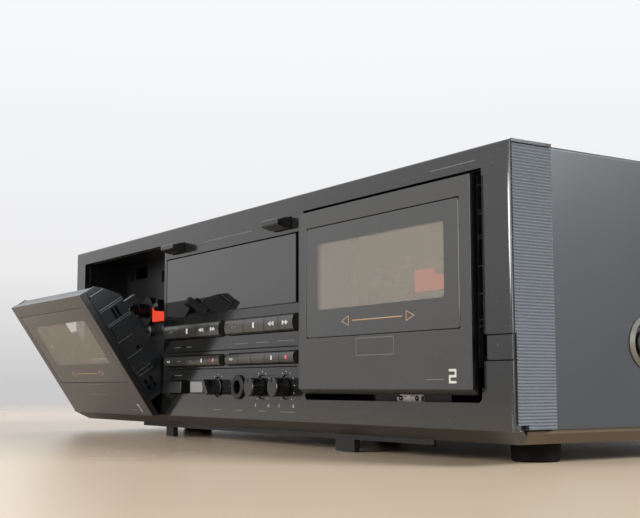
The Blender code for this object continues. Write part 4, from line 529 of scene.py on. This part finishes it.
def door_marks(letter, centre, place, char):
    left = centre - DOOR_HALF
    pane_node = "door_window_" + letter
    panel = "door_panel_" + letter
    low = left + 0.0345
    high = left + 0.0865
    line = 0.00035
    arrows = open_triangle(low + 0.0030, 0.0442, 0.0056, 0.0044, -1, line)
    arrows += open_triangle(high - 0.0030, 0.0442, 0.0056, 0.0044, 1, line)
    arrows.append(box_shape(low + 0.0085, 0.0440, high - 0.0085, 0.0444))
    marks("print_arrows_" + letter, pane_node, arrows, TAN_PRINT, place=place, step=0.004)
    frame_lines = outline_shapes(left + 0.0458, 0.0290, left + 0.0726, 0.0365, 0.00030)
    marks("print_frame_" + letter, panel, frame_lines, GREY_PRINT, place=place, step=0.004)
    marks("print_rule_" + letter, panel, [box_shape(left + 0.0925, 0.0185, left + 0.1040, 0.0188)],
          GREY_PRINT, place=place, step=0.004)
    marks("print_digit_" + letter, panel, digit(char, left + 0.1070, 0.0172, 0.0027, 0.0009, 1.6),
          WHITE_PRINT, place=place, step=0.004)


def groove_inlays():
    """Near-black sheets on the floors of the long grooves: painted shade."""
    shapes = []
    for low, high in ((0.03463, 0.03507), (0.02522, 0.02566)):
        shapes.append(box_shape(-0.0700, low, 0.0700, high))
        for side in (-1, 1):
            x0, x1 = sorted((side * 0.2014, side * 0.2138))
            shapes.append(box_shape(x0, low, x1, high))
    marks("groove_painted_shade", "front_panel", shapes, VOID, step=0.02)


key_marks()
facia_marks()
groove_inlays()
door_marks("a", -DOOR_X, SWUNG, "1")
door_marks("b", DOOR_X, STILL, "2")


# ---------------------------------------------------------------- door windows

# Half the width and the two heights of the clear middle of a door window.
CLEAR_HALF = 0.0444
CLEAR_LOW = 0.0501
CLEAR_HIGH = 0.0797


def pane(letter, centre, place, replaced):
    """Window plate: printed border round a clear middle, on both its faces."""
    low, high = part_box("door_window_b")
    low -= SHIFT
    high -= SHIFT
    half = (high.x - low.x) / 2
    edge = 0.00012
    bm = bmesh.new()
    outer = rounded(centre - half, low.z, centre + half, high.z, 0.0012)
    front_rim = rounded(centre - half + edge, low.z + edge, centre + half - edge, high.z - edge, 0.0011)
    clear = rounded(centre - CLEAR_HALF, CLEAR_LOW, centre + CLEAR_HALF, CLEAR_HIGH, 0.0016)

    def loop(points, y):
        return [bm.verts.new((x, y, z)) for x, z in points]
    front_clear = loop(clear, low.y)
    front_edge = loop(front_rim, low.y)
    side_front = loop(outer, low.y + edge)
    side_back = loop(outer, high.y)
    back_clear = loop(clear, high.y)
    ring_faces(bm, front_clear, front_edge)
    ring_faces(bm, front_edge, side_front)
    ring_faces(bm, side_front, side_back)
    ring_faces(bm, side_back, back_clear)
    for ends in (front_clear, back_clear):
        face = bm.faces.new(ends)
        face.material_index = 1
    return piece("window_pane_" + letter, bm, [MASK, CLEAR_PANE], "door_" + letter,
                 (replaced,), place=place)


pane("a", -DOOR_X, SWUNG, "door_window_a")
pane("b", DOOR_X, STILL, "door_window_b")


# ---------------------------------------------------------------- small pieces

def block(bm, x0, y0, z0, x1, y1, z1, slot=0):
    corners = [bm.verts.new((x, y, z)) for x in (x0, x1) for y in (y0, y1) for z in (z0, z1)]
    for ids in ((0, 1, 3, 2), (4, 6, 7, 5), (0, 4, 5, 1), (2, 3, 7, 6), (0, 2, 6, 4), (1, 5, 7, 3)):
        bm.faces.new([corners[i] for i in ids]).material_index = slot


def lathe(bm, centre, axis, profile, steps=24, slots=None):
    """Turned shape: profile of (radius, distance along the axis) from one end to the other."""
    way = Vector(axis).normalized()
    side = way.orthogonal().normalized()
    other = way.cross(side)
    rings = []
    for radius, along in profile:
        middle = Vector(centre) + way * along
        if radius == 0:
            rings.append([bm.verts.new(middle)])
            continue
        rings.append([bm.verts.new(middle + (side * math.cos(math.tau * i / steps)
                                             + other * math.sin(math.tau * i / steps)) * radius)
                      for i in range(steps)])
    for index in range(len(rings) - 1):
        first, last = rings[index], rings[index + 1]
        slot = slots[index] if slots else 0
        for i in range(steps):
            j = (i + 1) % steps
            if len(first) == 1:
                face = bm.faces.new((first[0], last[j], last[i]))
            elif len(last) == 1:
                face = bm.faces.new((first[i], first[j], last[0]))
            else:
                face = bm.faces.new((first[i], first[j], last[j], last[i]))
            face.material_index = slot


def screw(bm, centre, axis, radius, height, slots=(0, 1)):
    """Pan head with a cross-shaped near-black plate laid on it as painted shade of its recess; the axis points out of
    the surface.
    """
    lathe(bm, centre, axis, [(0, -0.0003), (radius * 0.96, -0.0003), (radius, 0.0002), (radius * 0.94, height * 0.55),
                             (radius * 0.7, height * 0.9), (radius * 0.4, height), (0, height)], 20)
    way = Vector(axis).normalized()
    side = way.orthogonal().normalized()
    other = way.cross(side)
    middle = Vector(centre) + way * height
    arm = radius * 0.52
    thin = radius * 0.14
    for first, last, spans in ((side, other, ((-arm, arm),)), (other, side, ((-arm, -thin), (thin, arm)))):
        for start, end in spans:
            quad = [middle + first * a + last * b - way * (0.0001 if level else -0.00003)
                    for level in (0, 1) for a, b in ((start, -thin), (end, -thin), (end, thin), (start, thin))]
            verts = [bm.verts.new(q) for q in quad]
            for ids in ((0, 1, 2, 3), (4, 7, 6, 5), (0, 4, 5, 1), (1, 5, 6, 2), (2, 6, 7, 3), (3, 7, 4, 0)):
                bm.faces.new([verts[i] for i in ids]).material_index = slots[1]


# Height and reach backward of each rib.
RIBS = ((0.0913, 0.0100), (0.0817, 0.0170), (0.0805, 0.0170), (0.0721, 0.0170), (0.0710, 0.0170),
        (0.0607, 0.0115), (0.0503, 0.0115), (0.0405, 0.0115), (0.0382, 0.0115))


def holder_details(letter, centre, place):
    """Painted highlights along the rib edges, and near-black boxes as painted shade of slots and a small grid, on the
    outer sides of a holder.
    """
    body = "door_" + letter
    edges = bmesh.new()
    holes = bmesh.new()
    for side in (-1, 1):
        face = centre + side * (DOOR_HALF - 0.0003)
        inner, outer = sorted((face + side * 0.0004, face + side * 0.00064))
        # Pale painted highlight along the upper edge of each rib.
        for z, reach in RIBS:
            block(edges, inner, 0.0012, z + 0.00010, outer, reach, z + 0.00036)
        # Near-black boxes set into the face: painted shade of the slots and the grid.
        low, high = sorted((face - side * 0.0002, face + side * 0.00006))
        for y0, y1 in ((0.0078, 0.0092), (0.0102, 0.0118)):
            block(holes, low, y0, 0.0728, high, y1, 0.0795)
        for row in range(2):
            for column in range(2):
                y = 0.0026 + 0.0040 * column
                z = 0.0280 + 0.0040 * row
                block(holes, low, y, z, high, y + 0.0016, z + 0.0030)
        block(holes, low, 0.0016, 0.0635, high, 0.0022, 0.0705)
        block(holes, low, 0.0090, 0.0520, high, 0.0112, 0.0535)
    piece("holder_rib_highlights_" + letter, edges, RIB_HIGHLIGHT, body, place=place)
    piece("holder_slot_shade_" + letter, holes, VOID, body, place=place)


holder_details("a", -DOOR_X, SWUNG)
holder_details("b", DOOR_X, STILL)


# y of the plate behind the cassette, the turned shape of a peg, and x0, z0, x1, z1 of the notches, which are drawn as
# near-black boxes of painted shade.
WELL_PLATE = 0.0300
PEG_PROFILE = ((0, 0), (0.0030, 0), (0.0030, 0.0030), (0.0017, 0.0034), (0.0017, 0.0098), (0.0011, 0.0112),
               (0, 0.0114))
NOTCHES = ((-0.0560, 0.0870, -0.0500, 0.0930), (0.0290, 0.0780, 0.0350, 0.0850), (0.0120, 0.0800, 0.0185, 0.0880),
           (-0.0060, 0.0830, 0.0040, 0.0900), (0.0420, 0.0520, 0.0520, 0.0620), (-0.0520, 0.0520, -0.0430, 0.0620))


def well_details(letter, centre):
    """Locating pegs, and near-black boxes on the plate behind the cassette as painted shade of its notches."""
    pegs = bmesh.new()
    for side in (-1, 1):
        lathe(pegs, (centre + side * 0.0190, WELL_PLATE + 0.0004, 0.0518), (0, -1, 0), PEG_PROFILE, 16)
    piece("well_pegs_" + letter, pegs, PEG, "deck")
    dark = bmesh.new()
    for x0, z0, x1, z1 in NOTCHES:
        block(dark, centre + x0, WELL_PLATE - 0.0003, z0, centre + x1, WELL_PLATE + 0.0002, z1)
    piece("well_notch_shade_" + letter, dark, VOID, "deck")


well_details("a", -DOOR_X)
well_details("b", DOOR_X)


def carriage_screws(letter, centre):
    bm = bmesh.new()
    for x in (-0.0055, 0.0055):
        screw(bm, (centre + x, 0.0135, 0.0112), (0, -1, 0), 0.0011, 0.0007)
    piece("carriage_screws_" + letter, bm, [STEEL, VOID], body_of("head_block_" + letter))


def case_screws():
    bm = bmesh.new()
    rear = 0.2771
    for x, z in ((-0.200, 0.098), (-0.100, 0.098), (0.0, 0.098), (0.100, 0.098), (0.200, 0.098),
                 (-0.200, 0.020), (0.0, 0.014), (0.200, 0.020), (0.1045, 0.0635), (0.1570, 0.0635)):
        screw(bm, (x, rear, z), (0, 1, 0), 0.0030, 0.0016)
    piece("rear_screws", bm, [DARK_SCREW, VOID], "deck")


def jack_rings():
    """Coloured collars of the rear sockets."""
    low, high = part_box("line_jack_block")
    top = (low.z + high.z) / 2 - SHIFT.z
    middle = (low.x + high.x) / 2
    rear = 0.2776
    for name, dz, mat in (("white", 0.007, JACK_WHITE), ("red", -0.007, JACK_RED)):
        bm = bmesh.new()
        for dx in (-0.007, 0.007):
            lathe(bm, (middle + dx, rear, top + dz), (0, 1, 0),
                  [(0.00430, 0.0001), (0.0058, 0.0001), (0.0060, 0.0004), (0.0060, 0.0020), (0.0056, 0.0024),
                   (0.00430, 0.0024), (0.00430, 0.0001)], 28)
        piece("jack_rings_" + name, bm, mat, "deck")


carriage_screws("a", -DOOR_X)
carriage_screws("b", DOOR_X)
case_screws()
jack_rings()


# ---------------------------------------------------------------- stage, light and camera

def stage():
    """Round pale floor that fades out into the backdrop."""
    bm = bmesh.new()
    bmesh.ops.create_circle(bm, cap_ends=True, segments=96, radius=1.6)
    mesh = bpy.data.meshes.new("floor")
    bm.to_mesh(mesh)
    bm.free()
    mat = finish("floor_pale", (220, 199, 172), 0.26, vary=0.02, cloud=3, grain=0)
    tree = mat.node_tree
    coords = tree.nodes.new("ShaderNodeTexCoord")
    away = tree.nodes.new("ShaderNodeVectorMath")
    away.operation = "LENGTH"
    tree.links.new(coords.outputs["Object"], away.inputs[0])
    fade = tree.nodes.new("ShaderNodeMapRange")
    fade.interpolation_type = "SMOOTHSTEP"
    for socket, value in (("From Min", 0.45), ("From Max", 1.50), ("To Min", 1.0), ("To Max", 0.0)):
        fade.inputs[socket].default_value = value
    tree.links.new(away.outputs["Value"], fade.inputs["Value"])
    tree.links.new(fade.outputs["Result"], tree.nodes["Principled BSDF"].inputs["Alpha"])
    mesh.materials.append(mat)
    floor = bpy.data.objects.new("floor", mesh)
    bpy.context.scene.collection.objects.link(floor)


def world():
    sky = bpy.data.worlds.new("studio")
    bpy.context.scene.world = sky
    sky.use_nodes = True
    tree = sky.node_tree
    link = tree.links.new
    out = tree.nodes["World Output"]
    lit = tree.nodes["Background"]
    lit.inputs["Color"].default_value = (0.95, 0.97, 1.0, 1)
    lit.inputs["Strength"].default_value = 0.12
    seen = tree.nodes.new("ShaderNodeBackground")
    seen.inputs["Strength"].default_value = 1.0
    coords = tree.nodes.new("ShaderNodeTexCoord")
    apart = tree.nodes.new("ShaderNodeSeparateXYZ")
    link(coords.outputs["Generated"], apart.inputs[0])
    ramp = tree.nodes.new("ShaderNodeValToRGB")
    ramp.color_ramp.elements[0].position = 0.0
    ramp.color_ramp.elements[0].color = (0.60, 0.59, 0.60, 1)
    ramp.color_ramp.elements[1].position = 0.30
    ramp.color_ramp.elements[1].color = (0.93, 0.94, 0.96, 1)
    middle = ramp.color_ramp.elements.new(0.10)
    middle.color = (0.84, 0.84, 0.85, 1)
    link(apart.outputs["Z"], ramp.inputs["Fac"])
    link(ramp.outputs["Color"], seen.inputs["Color"])
    path = tree.nodes.new("ShaderNodeLightPath")
    first = tree.nodes.new("ShaderNodeMath")
    first.operation = "MAXIMUM"
    second = tree.nodes.new("ShaderNodeMath")
    second.operation = "MAXIMUM"
    link(path.outputs["Is Camera Ray"], first.inputs[0])
    link(path.outputs["Is Glossy Ray"], first.inputs[1])
    link(first.outputs[0], second.inputs[0])
    link(path.outputs["Is Transmission Ray"], second.inputs[1])
    mix = tree.nodes.new("ShaderNodeMixShader")
    link(second.outputs[0], mix.inputs["Fac"])
    link(lit.outputs[0], mix.inputs[1])
    link(seen.outputs[0], mix.inputs[2])
    link(mix.outputs[0], out.inputs["Surface"])


def lamp(name, place, target, size, energy, colour=(1, 1, 1)):
    data = bpy.data.lights.new(name, "AREA")
    data.shape = "RECTANGLE"
    data.size = size[0]
    data.size_y = size[1]
    data.energy = energy
    data.color = colour
    thing = bpy.data.objects.new(name, data)
    bpy.context.scene.collection.objects.link(thing)
    thing.location = place
    thing.rotation_euler = (Vector(target) - Vector(place)).to_track_quat("-Z", "Y").to_euler()
    thing.visible_camera = False


def camera():
    data = bpy.data.cameras.new("camera")
    thing = bpy.data.objects.new("camera", data)
    bpy.context.scene.collection.objects.link(thing)
    forward = Vector((-0.830756, 0.546141, 0.107587)).normalized()
    right = Vector((0.549153, 0.835719, -0.001938))
    right = (right - forward * right.dot(forward)).normalized()
    up = right.cross(forward)
    eye = Vector((0.509393, -0.274587, 0.016555)) + SHIFT
    thing.matrix_world = Matrix(((right.x, up.x, -forward.x, eye.x), (right.y, up.y, -forward.y, eye.y),
                                 (right.z, up.z, -forward.z, eye.z), (0, 0, 0, 1)))
    data.sensor_width = 36
    data.lens = 62.460
    data.shift_x = -0.004636
    data.shift_y = 0.009688
    data.clip_start = 0.01
    bpy.context.scene.camera = thing


stage()
world()
lamp("soft_top", (-0.5, 0.1, 1.6), (0, 0, 0.05), (1.6, 1.2), 3)
lamp("front", (-0.2, -1.9, 0.6), (0, 0, 0.06), (1.2, 0.6), 32)
lamp("side_window", (1.8, 0.8, 1.0), (0.2, 0, 0.06), (1.0, 0.8), 66, (0.93, 0.97, 1.0))
lamp("strip_right", (1.25, -1.25, 0.45), (0.2, -0.1, 0.06), (0.3, 0.9), 4.5)
lamp("back_left", (-1.3, 1.5, 1.1), (0, 0.1, 0.06), (1.0, 0.8), 12)
camera()
bpy.context.scene.view_settings.view_transform = "Standard"
